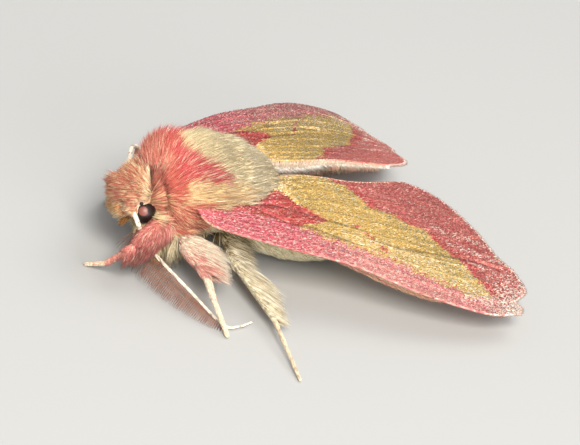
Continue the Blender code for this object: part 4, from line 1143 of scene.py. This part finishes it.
def wing_point(side, plan, height):
    """Points of a folded wing at places of its plan, `height` over the middle surface."""
    hinge, apex, tornus, arch, camber, scale = WING[side]
    hinge, apex, tornus = (np.array(p) for p in (hinge, apex, tornus))
    along = unit(apex - hinge)
    across = tornus - hinge
    across = unit(across - along * (across @ along))
    up = np.cross(along, across)
    up = up if up[2] > 0 else -up
    share = clamp(plan[..., 0] / WING_LENGTH)
    chord = clamp((plan[..., 1] + WING_FRONT) / WING_CHORD)
    rise = 4 * arch * share * (1 - share) * (1 - 0.5 * chord)
    rise = rise + 4 * camber * chord * (1 - chord) * np.minimum(1, 1.5 * share)
    return (hinge + plan[..., :1] * along * scale + plan[..., 1:2] * across * scale
            + (rise + height)[..., None] * up)


def fold_depth(plan):
    """How deep a place lies in the folds of a forewing, from 0 to 1."""
    x, y = plan[..., 0], plan[..., 1]
    depth = np.zeros_like(x)
    for fold in FOLDS:
        ends = clamp((x - fold[0][0]) * 1.5) * clamp((fold[-1][0] - x) * 1.5)
        depth = np.maximum(depth, ends * np.exp(-(((y - along_table(fold, x)) / FOLD_WIDTH) ** 2)))
    return depth


def relief(wing, plan, along, across, vein_height):
    """Ridges over the veins, with a shallow furrow beside each, and the fold of a forewing."""
    height = np.zeros_like(across)
    for vein in VEINS[wing]:
        off = (across - vein) / VEIN_WIDTH
        height += vein_height * (np.exp(-off**2) - 0.2 * np.exp(-((off - 2.4) / 1.6) ** 2))
    height = height * np.minimum(1, 6 * (1 - along)) * np.minimum(1, 5 * along + 0.2)
    return height - FOLD_DEPTH * fold_depth(plan) if wing == "fore" else height


def upper_face(wing, plan, along, across, sizes):
    """How high a wing's upper face lies over its middle surface, with its veins and folds."""
    return sizes.wing_top / MM - DROP[wing] + relief(wing, plan, along, across, sizes.vein_height / MM)


def wing_zone(plan, rng):
    """Zone numbers of WING_MIXES for places on a forewing."""
    x = plan[..., 0] + rng.normal(0, 0.05, plan.shape[:-1])
    y = plan[..., 1] + rng.normal(0, 0.045, plan.shape[:-1])
    chance = rng.uniform(0, 1, plan.shape[:-1])
    wander = 0.10 * np.sin(x * 5.1) * np.sin(y * 4.3 + x)
    # Ochre ground, mixed with cream near the body and in front.
    zone = np.full(plan.shape[:-1], OCHRE)
    zone[(x < 5.0) & (chance < clamp((4.6 - x) / 2.2))] = CREAM
    zone[(x > 6.5) & (y < 1.2) & (chance < 0.45)] = CREAM
    # The rose band along the costa, and the crimson patch at the base.
    band = along_table(COSTAL_BAND, x)
    zone[(y < band + wander) | ((y < band + 0.25) & (chance < 0.35))] = ROSE
    zone[(zone == ROSE) & (rng.uniform(0, 1, chance.shape) < np.clip((7.5 - x) / 4.0, 0, 0.85))] = RASPBERRY
    top = along_table(BASAL_TOP, x)
    low = np.where(x > 4.34, along_table(BASAL_LOW, x), band)
    patch = (y < top + wander * 0.6) & (y > low - 0.05) & (x < 5.95) & (x > 0.1)
    zone[patch] = np.where(chance[patch] < 0.25, RASPBERRY, CRIMSON)
    zone[patch & (x > 3.6)] = CRIMSON
    # The band along the termen, crimson at its edge and pale between the veins, with grey before it.
    beyond = x - along_table(TERMINAL_BAND, y) + wander
    zone[(beyond > 0) & (y > -0.3)] = BAND
    zone[(beyond > 0) & (beyond < 0.6) & (y > 0.2) & (chance < 0.7)] = CRIMSON
    zone[(beyond > 0.8) & (x > 10.8) & (y < 3.2) & (np.sin(8.6 * y + 0.5) > 0.35) & (chance < 0.30)] = TIP
    zone[(beyond < -0.02) & (beyond > -1.5) & (y > 0.5) & (chance < 0.22)] = GREY
    # The dashes from the costa, and the whitened apex.
    line = along_table(POSTMEDIAL, x)
    dash = (np.abs(y - line) < 0.10) & (x > 7.1) & (x < 9.1) & (np.sin(x * 9.0) > -0.35)
    zone[dash & (chance < 0.85)] = CRIMSON
    pale = 0.7 * clamp((x - 13.2) / 2.2) * clamp((2.4 - y) / 1.6)
    zone[(x > 12.8) & (chance < pale)] = TIP
    zone[(x > 12.4) & (y < 0.10) & (y > -0.55) & (chance < 0.35)] = TIP
    zone[(x > 13.8) & (y < 0.35) & (chance < (x - 13.6) / 1.3)] = TIP
    return zone


OCHRE, ROSE, CRIMSON, CREAM, TIP, GREY, BAND, RASPBERRY = range(8)
WING_MIXES = mixes(
    "6 d0aa5e d8b268, 4 dcbc76 e2c686, 1 bc944c c6a056, 0.6 ecdcb4 f4ead0",  # ochre
    "5 dc8c84 e09a90, 3 cc6c74 d27c80, 3 e8b2a4 eec0b0, 0.6 f2dccc f8eadc",  # rose
    "5 c85854 d0645c, 4 b84244 c05050, 2 dc8474 e49684, 0.4 eec0ac f2ccba",  # crimson
    "5 e2c48a e8cc94, 3 edd6a8 f2e0b8, 1 f4e8cc f8f0dc, 1 d0b070 dabc80",  # cream
    "5 f0d4c0 f4decc, 2 e2aca0 e8bab0, 3 f6eadc fcf4ea",  # tip
    "4 a89c78 b4a888, 3 8c8464 989070, 2 c4bc98 d0c8a8",  # grey
    "5 cc706a d07a72, 4 ba5856 c26662, 2 de9686 e4a494, 0.3 efc8b4 f4d6c6",  # band
    "5 d86c76 de7882, 4 c8545e d0626e, 2 e8a09c eeb0aa, 0.5 f4d8cc f8e6da",  # raspberry
)
HINDWING_MIXES = mixes("5 ecd8bc f2e2cc, 3 e4c0a8 eaccb6, 2 dca898 e4b4a6")


def streaks_and_fold_shade(plan, across):
    """Soft streaks of lighter and darker tone along a forewing, painted shade in the fold, and lighter outer
    veins.
    """
    streak = np.array([noise.noise((x * 0.7, y * 6.0, 3.0)) for x, y in plan])
    vein = sum(np.exp(-(((across - v) / VEIN_WIDTH) ** 2)) for v in VEINS["fore"])
    outer = clamp((plan[:, 0] - 9.0) / 4.0)
    return ((1 + 0.20 * streak) * (1 - 0.36 * fold_depth(plan)) * (1 + 0.18 * vein * outer))[:, None]


def wing_chart(along, across):
    """Chart places of a wing's upper face; its under face has the other half of the chart."""
    return np.stack((0.02 + 0.46 * along, 0.02 + 0.96 * across), -1)


def add_membrane(name, side, wing, sizes, node, tinted):
    """The membrane as one closed sheet, with its veins raised in its own surface."""
    rows, columns = GRID[wing]
    bm = bmesh.new()
    bmesh.ops.create_grid(bm, x_segments=rows, y_segments=columns, size=1.0)
    grid = (np.array([v.co for v in bm.verts])[:, :2] + 1) / 2
    along, across = grid.T
    plan = wing_plan(wing, along, across)
    height = upper_face(wing, plan, along, across, sizes)
    share = bm.verts.layers.float_vector.new("share")
    layer = bm.loops.layers.uv.new("OFBake")
    for vert, point, place in zip(bm.verts, wing_point(side, plan, height), grid):
        vert.co = point
        vert[share] = (*place, 0.0)
    for face in bm.faces:
        for loop in face.loops:
            loop[layer].uv = wing_chart(*loop.vert[share][:2])
    if side == "right":
        bmesh.ops.reverse_faces(bm, faces=bm.faces)
    top = set(bm.faces)
    bmesh.ops.solidify(bm, geom=list(bm.faces), thickness=sizes.membrane / MM)
    for face in set(bm.faces) - top:
        for loop in face.loops:
            loop[layer].uv.x += 0.5
    places = np.array([v[share][:2] for v in bm.verts])
    bm.verts.layers.float_vector.remove(share)
    mesh = mesh_of(name, bm)
    finish(mesh, read(mesh.vertices, "co", 3), tinted(wing_plan(wing, *places.T), places[:, 1]))
    add_piece(name, mesh, look("wing_membrane"), [node])


def forewing_tint(plan, across):
    """The colour of a forewing's membrane under its scales, darkened as painted shade under them and in the
    fold.
    """
    rng = np.random.default_rng(50)
    # The membrane is darkened to nine tenths, a painted shade under its scales.
    return dye_and_shade(rng, wing_zone(plan, rng), WING_MIXES, 0.9)[0] * streaks_and_fold_shade(plan, across)


class MOTH_OT_forewings(bpy.types.Operator):
    """Makes the two forewings, folded low like a roof"""

    bl_idname = "moth.forewings"
    bl_label = "Forewings"

    def execute(self, context):
        for side in SIDES:
            add_membrane(f"forewing_skin_{side}", side, "fore", context.scene.moth_wing,
                         f"forewing_{side}", forewing_tint)
        return {"FINISHED"}


class MOTH_OT_hindwings(bpy.types.Operator):
    """Makes the two hindwings, mostly hidden under the forewings"""

    bl_idname = "moth.hindwings"
    bl_label = "Hindwings"

    def execute(self, context):
        for side in SIDES:
            add_membrane(f"hindwing_skin_{side}", side, "hind", context.scene.moth_wing,
                         f"hindwing_{side}", lambda plan, across: np.tile(linear("e4ccb0"), (len(plan), 1)))
        return {"FINISHED"}


class MOTH_OT_wing_scales(bpy.types.Operator):
    """Lays flat scales over the wings, in the colours of their markings"""

    bl_idname = "moth.wing_scales"
    bl_label = "Wing scales"

    def execute(self, context):
        sizes = context.scene.moth_wing
        for number, side in enumerate(SIDES):
            self.scales(f"forewing_scales_{side}", side, "fore", sizes.forewing_scales, sizes, 60 + number)
            self.scales(f"hindwing_scales_{side}", side, "hind", sizes.hindwing_scales, sizes, 65 + number)
        return {"FINISHED"}

    def scales(self, name, side, wing, count, sizes, seed):
        """Overlapping scales on a wing's upper face, each widening to its outer end, towards the termen."""
        rng = np.random.default_rng(seed)
        along, across = even(count, seed).T
        steps = ((0, 0), (0.01, 0), (0, 0.01))
        plan, ahead, aside = (wing_plan(wing, along + a, across + c) for a, c in steps)
        du, dv = ahead - plan, aside - plan
        area = np.abs(du[:, 0] * dv[:, 1] - du[:, 1] * dv[:, 0])
        keep = rng.uniform(0, np.quantile(area, 0.97), count) < area
        along, across, plan, du = along[keep], across[keep], plan[keep], unit(du[keep])
        count = len(plan)
        top = upper_face(wing, plan, along, across, sizes)
        long = sizes.scale_length / MM * rng.uniform(0.75, 1.25, (count, 1))
        wide = sizes.scale_width / MM * rng.uniform(0.8, 1.25, (count, 1))
        way = unit(du + np.stack((-du[:, 1], du[:, 0]), -1) * rng.normal(0, 0.15, (count, 1)))
        cross = np.stack((-way[:, 1], way[:, 0]), -1) * wide / 2
        tilt = rng.uniform(0.008, 0.030, count)
        places = ((way * long * -0.2, -0.010), (way * long * 0.8 + cross, tilt),
                  (way * long * 0.8 - cross, tilt), (way * long * 0.55, -0.006))
        corners = np.stack([wing_point(side, plan + offset, top + lift) for offset, lift in places], 1)
        cell = np.array([(0, 2, 1), (0, 1, 3), (1, 2, 3), (2, 0, 3)])
        if side == "right":
            cell = cell[:, ::-1]
        if wing == "fore":
            base, tip = dye_and_shade(rng, wing_zone(plan, rng), WING_MIXES, 1.0, 0.05)
            # The scales carry the same painted shade in the fold, with the streaks and the lighter outer
            # veins.
            light = streaks_and_fold_shade(plan, across)
            base, tip = base * light, tip * light
        else:
            base, tip = dye_and_shade(rng, np.zeros(count, int), HINDWING_MIXES, 1.0, 0.05)
        tints = np.stack((base, tip, tip, base), 1).reshape(-1, 3)
        patch = PATCH * np.array(((-0.5, 0), (0.5, 0.5), (0.5, -0.5), (0.2, 0)))
        chart = wing_chart(along, across)[:, None, :] + patch
        order = (np.arange(count) * 4)[:, None, None] + cell[None]
        mesh = joined_mesh(name, corners.reshape(-1, 3), order.reshape(-1, 3), tints, chart.reshape(-1, 2))
        add_piece(name, mesh, look("flat_scales"))


class MOTH_OT_wing_hair(bpy.types.Operator):
    """Sets the fringes along the margins and the long hair on the wing bases"""

    bl_idname = "moth.wing_hair"
    bl_label = "Fringes"

    OUTER, FRONT, WHITE, SHADOW_TAN, BASE, BACK = range(6)
    MIXES = mixes(
        "4 e8b0a0 f6e2d2, 3 dc9088 f0c8bc, 2 f2e0ca fbf2e6",  # outer fringe
        "4 e89c84 f0b49c, 3 e0c498 ecd6b0, 1 d4806c dc947e",  # front edge
        "5 f4eadc fbf6ec, 2 e6dac8 f0e8da, 1 f0d4c6 f4e0d4",  # white band
        # The tan hair under the white band is coloured as painted shade, for the band's shadow over the wing
        # below.
        "3 c8a888 d4b898, 3 d09484 dca898, 2 a89478 b8a488",  # tan, under the band
        "5 e6cf98 eedcb0, 3 dcc084 e6cc94, 1 f0e4c4 f6eed8",  # wing base
        "4 cfc0a0 dccfb4, 3 d8a898 e4beb0, 2 b4a488 c4b698",  # back edge
    )
    # Rows: wing, margin, from, to, count, length in mm, mix, and the parts out, along and down.
    ROWS = (("fore", TERMEN, 0.00, 1.00, 3600, 0.36, OUTER, 1.00, 0.05, 0.04),
            ("fore", COSTA, 0.05, 1.00, 1800, 0.22, FRONT, 0.30, 1.0, 0.12),
            ("fore", INNER, 0.35, 1.00, 1500, 0.38, BACK, 0.80, 0.40, 0.25),
            ("fore", INNER, 0.36, 1.00, 2400, 0.95, WHITE, 0.30, 1.0, 0.42),
            ("fore", INNER, 0.25, 0.98, 2200, 1.10, SHADOW_TAN, 0.32, 0.60, 0.85),
            ("hind", TERMEN, 0.00, 1.00, 1200, 0.40, OUTER, 1.00, 0.05, 0.05),
            ("hind", COSTA, 0.10, 1.00, 1000, 0.34, FRONT, 0.65, 0.9, 0.05),
            ("hind", INNER, 0.20, 1.00, 900, 0.50, WHITE, 0.60, 0.5, 0.5))

    def execute(self, context):
        sizes = context.scene.moth_wing
        for number, side in enumerate(SIDES):
            rng = np.random.default_rng(70 + number)
            self.piece(f"wing_fringe_{side}", [self.row(rng, side, sizes, *row) for row in self.ROWS], sizes)
            self.piece(f"wing_base_hair_{side}", [self.down(rng, side, sizes)], sizes)
        return {"FINISHED"}

    def piece(self, name, rows, sizes):
        """One mesh from rows of hair-like scales."""
        root, leave, arrive, flat, long, base, tip, chart = (np.concatenate(c) for c in zip(*rows))
        mesh = tufts(name, root, leave, arrive, flat, long, sizes.fringe_width / MM, (base, tip), chart,
                     sunk=0.05, thin=0.35)
        add_piece(name, mesh, look("flat_scales"))

    def row(self, rng, side, sizes, wing, edge, first, last, count, length, mix, outward, onward, downward):
        """Hair-like scales along one margin, by the row's parts out, along and down."""
        spread = rng.uniform(first, last, count)
        level = sizes.wing_top / MM - DROP[wing] - sizes.membrane / MM * rng.uniform(0.1, 0.9, count)

        def place(step=0.0, inward=0.0, lift=0.0):
            across = {COSTA: inward, TERMEN: clamp(spread + step), INNER: 1 - inward}[edge]
            along = 1 - inward if edge == TERMEN else clamp(spread + step)
            along, across = np.broadcast_arrays(along, across)
            return wing_point(side, wing_plan(wing, along, across), level + lift)

        here = place()
        out = unit(here - place(inward=0.02))
        onward_way = unit(place(step=0.01) - place(step=-0.01))
        up = unit(place(lift=0.1) - here)
        leave = out * outward + onward_way * onward - up * downward
        leave = unit(leave + rng.normal(0, 0.05, out.shape))
        arrive = unit(leave + rng.normal(0, 0.08, leave.shape) - np.array((0, 0, 0.3 * downward)))
        base, tip = dye_and_shade(rng, np.full(count, mix), self.MIXES, 1.0)
        start, end = np.zeros(count), np.ones(count)
        chart = wing_chart(*{COSTA: (spread, start), TERMEN: (end, spread), INNER: (spread, end)}[edge])
        long = length * rng.uniform(0.6, 1.1, count)
        if edge == INNER:
            long = long * np.interp(spread, (0.70, 1.0), (1.0, 0.35))
        return here - out * 0.05, leave, arrive, up, long, base, tip, chart

    def down(self, rng, side, sizes):
        """Long soft hair on the base of the forewing, which joins the coat of the back to its scales."""
        along = rng.uniform(0.06, 0.42, sizes.base_hairs)
        across = rng.uniform(0.48, 1.0, sizes.base_hairs)
        zone = wing_zone(wing_plan("fore", along, across), rng)
        kept = np.isin(zone, (OCHRE, CREAM, BAND))
        along, across, zone = along[kept], across[kept], zone[kept]
        count = len(zone)
        plan = wing_plan("fore", along, across)
        level = upper_face("fore", plan, along, across, sizes)
        root = wing_point(side, plan, level)
        up = unit(wing_point(side, plan, level + 0.1) - root)
        ahead = unit(wing_point(side, wing_plan("fore", along + 0.01, across), level) - root)
        ahead = ahead + rng.normal(0, 0.10, ahead.shape)
        lies = lay(up, ahead, 16 + rng.normal(0, 4, count), 3)
        base, tip = dye_and_shade(rng, np.full(count, self.BASE), self.MIXES, 0.95)
        own = rng.uniform(0.27, 0.41, count) < along
        base[own], tip[own] = (part[own] for part in dye_and_shade(rng, zone, WING_MIXES, 1.0))
        long = np.interp(along, (0.06, 0.28, 0.42), (0.90, 0.60, 0.25)) * rng.uniform(0.6, 1.1, count)
        return root, *lies, up, long, base, tip, wing_chart(along, across)


# Stage


class MOTH_OT_stage(bpy.types.Operator):
    """Lays the pale floor, the studio lights and the camera"""

    bl_idname = "moth.stage"
    bl_label = "Stage"

    # Soft lights: name, place and width in metres, and colour.
    LIGHTS = (("key", (-0.07, -0.20, 0.23), 0.12, (1.0, 0.97, 0.92)),
              ("fill", (0.02, -0.27, 0.06), 0.16, (1.0, 0.98, 0.96)),
              ("top", (0.12, 0.02, 0.26), 0.20, (1.0, 1.0, 1.0)))
    SKY = (0.97, 0.98, 1.0, 1)
    # The camera: its right, up and backward axes, its place, and its lens and sensor, in millimetres.
    AXES = ((0.88720271, -0.41461323, 0.2024036), (0.08371725, 0.57607481, 0.81309854),
            (-0.45372103, -0.70443856, 0.54580541))
    PLACE = (-55.508169, -92.381107, 72.695077)
    LENS, SENSOR = 182.641, 36.0

    def execute(self, context):
        stage = context.scene.moth_stage
        bm = bmesh.new()
        bmesh.ops.create_grid(bm, x_segments=2, y_segments=2, size=1.5)
        mesh = mesh_of("floor", bm)
        floor = bpy.data.objects.new("floor", mesh)
        context.scene.collection.objects.link(floor)
        # Uncoated pale paper: matt, with no grain to be seen at this size.
        paper = bpy.data.materials.new("pale_paper")
        paper.use_nodes = True
        settle(paper.node_tree.nodes["Principled BSDF"], Base_Color=(*stage.floor_colour, 1), Roughness=0.9)
        mesh.materials.append(paper)
        floor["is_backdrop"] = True
        for light in self.LIGHTS:
            self.light(*light, getattr(stage, f"{light[0]}_power"))
        world = bpy.data.worlds.new("studio")
        world.use_nodes = True
        settle(world.node_tree.nodes["Background"], Color=self.SKY, Strength=stage.world_strength)
        context.scene.world = world
        context.scene.view_settings.view_transform = "Standard"
        self.camera(context)
        return {"FINISHED"}

    def light(self, name, place, size, colour, power):
        """A square soft light that faces the moth."""
        lamp = bpy.data.lights.new(name, "AREA")
        lamp.size, lamp.energy, lamp.color = size, power, colour
        holder = bpy.data.objects.new(name, lamp)
        holder.location = place
        holder.rotation_euler = (-Vector(place)).to_track_quat("-Z", "Y").to_euler()
        bpy.context.scene.collection.objects.link(holder)

    def camera(self, context):
        """The camera at the photograph's viewing angle, with no depth of field."""
        lens = bpy.data.cameras.new("camera")
        lens.lens, lens.sensor_width, lens.clip_start, lens.clip_end = self.LENS, self.SENSOR, 0.005, 5.0
        camera = bpy.data.objects.new("camera", lens)
        place = Matrix(self.AXES).transposed().to_4x4()
        place.translation = Vector(home(self.PLACE))
        camera.matrix_world = place
        context.scene.collection.objects.link(camera)
        context.scene.camera = camera


# Settings


def length(name, description, default):
    """A length in metres that a user can change."""
    return bpy.props.FloatProperty(name=name, description=description, default=default, unit="LENGTH",
                                   precision=6)


def colour(name, description, default):
    """A colour, as three linear numbers, that a user can change."""
    return bpy.props.FloatVectorProperty(name=name, description=description, default=tuple(default), size=3,
                                         min=0, max=1, subtype="COLOR")


def number_of(name, description, default):
    """A count that a user can change."""
    return bpy.props.IntProperty(name=name, description=description, default=default, min=1)


def power(name, description, default):
    """A light's power that a user can change."""
    return bpy.props.FloatProperty(name=name, description=description, default=default, unit="POWER")


class MothCoat(bpy.types.PropertyGroup):
    """Sizes of skin, hair and feelers"""

    skin_grain: length("Skin grain", "Voxel size of the skin", 0.00008)
    hair_width: length("Hair width", "Width of a hair, coarser than the real 0.02 mm to show", 0.000048)
    crest_length: length("Crest length", "Hair length on the head's crest", 0.00114)
    coat_density: number_of("Coat density", "Hairs to a square millimetre of the body", 430)
    shaft_radius: length("Feeler radius", "Radius of a feeler's shaft at its base", 0.000115)
    comb_spacing: length("Comb spacing", "Distance between filaments of the comb", 0.00010)
    comb_width: length("Filament width", "Width of one filament at its root", 0.000034)


class MothWing(bpy.types.PropertyGroup):
    """Sizes of wings and scales"""

    wing_top: length("Top", "Height of the upper face over the middle surface", 0.00012)
    membrane: length("Membrane", "Thickness of the wing with its scales", 0.00010)
    vein_height: length("Vein height", "Height of the veins' ridges", 0.000032)
    scale_length: length("Scale length", "Length of one wing scale", 0.00015)
    scale_width: length("Scale width", "Width of one wing scale", 0.000062)
    fringe_width: length("Fringe width", "Width of one fringe scale", 0.000050)
    forewing_scales: number_of("Forewing scales", "Places tried for scales on each forewing", 60000)
    hindwing_scales: number_of("Hindwing scales", "Places tried for scales on each hindwing", 14000)
    base_hairs: number_of("Base hairs", "Hairs on the base of each forewing", 7000)


class MothLooks(bpy.types.PropertyGroup):
    """Sizes and colours of the eyes, and the feelers' colour"""

    eye_radius: length("Eye radius", "Radius of each eye", 0.00051)
    facet_size: length("Facet size", "Width of a facet, coarser than the real 0.02 mm to show", 0.00004)
    eye_colour: colour("Eye", "Colour of the eyes", linear("1c0d0d"))
    # The glow on the eyes is a painted reflection, not a light of their own.
    shine_colour: colour("Glow", "Colour of the glow on the eyes' sides", linear("824a3c"))
    shaft_colour: colour("Feelers", "Colour of the scales on the feelers' shafts", linear("f0e4d0"))


class MothStage(bpy.types.PropertyGroup):
    """Floor and lights"""

    floor_colour: colour("Floor", "Colour of the floor", (0.42, 0.42, 0.41))
    key_power: power("Key", "Power of the key light", 1.36)
    fill_power: power("Fill", "Power of the fill light", 0.40)
    top_power: power("Top", "Power of the light overhead", 0.36)
    world_strength: bpy.props.FloatProperty(name="World", description="Strength of the soft light all round",
                                            default=0.42)


GROUPS = {"moth_coat": MothCoat, "moth_wing": MothWing, "moth_looks": MothLooks, "moth_stage": MothStage}
OPERATORS = (MOTH_OT_skin, MOTH_OT_body_coat, MOTH_OT_leg_coat, MOTH_OT_eyes, MOTH_OT_feelers,
             MOTH_OT_forewings, MOTH_OT_hindwings, MOTH_OT_wing_scales, MOTH_OT_wing_hair, MOTH_OT_stage)


class MOTH_PT_panel(bpy.types.Panel):
    """Lists the pieces of the moth and their sizes"""

    bl_label = "Pink Prominent Moth"
    bl_idname = "MOTH_PT_panel"
    bl_space_type = "VIEW_3D"
    bl_region_type = "UI"
    bl_category = "Moth"

    def draw(self, context):
        for operator in OPERATORS:
            self.layout.operator(operator.bl_idname)
        for name, group in GROUPS.items():
            box = self.layout.box()
            for key in group.__annotations__:
                box.prop(getattr(context.scene, name), key)


def register():
    """Makes the settings, operators and panel known to Blender."""
    for kind in (*GROUPS.values(), *OPERATORS, MOTH_PT_panel):
        bpy.utils.register_class(kind)
    for name, group in GROUPS.items():
        setattr(bpy.types.Scene, name, bpy.props.PointerProperty(type=group))


def unregister():
    """Takes them away again."""
    for name in GROUPS:
        delattr(bpy.types.Scene, name)
    for kind in reversed((*GROUPS.values(), *OPERATORS, MOTH_PT_panel)):
        bpy.utils.unregister_class(kind)


def main():
    """Builds the moth and its stage."""
    register()
    for operator in OPERATORS:
        group, name = operator.bl_idname.split(".")
        getattr(getattr(bpy.ops, group), name)()
    boxes = {"cad": CAD_BOX, "visual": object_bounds()}
    rows = (f'"{key}": {[[float(v) for v in corner] for corner in box]}' for key, box in boxes.items())
    "{" + ", ".join(rows) + "}\n"


if __name__ == "__main__":
    main()
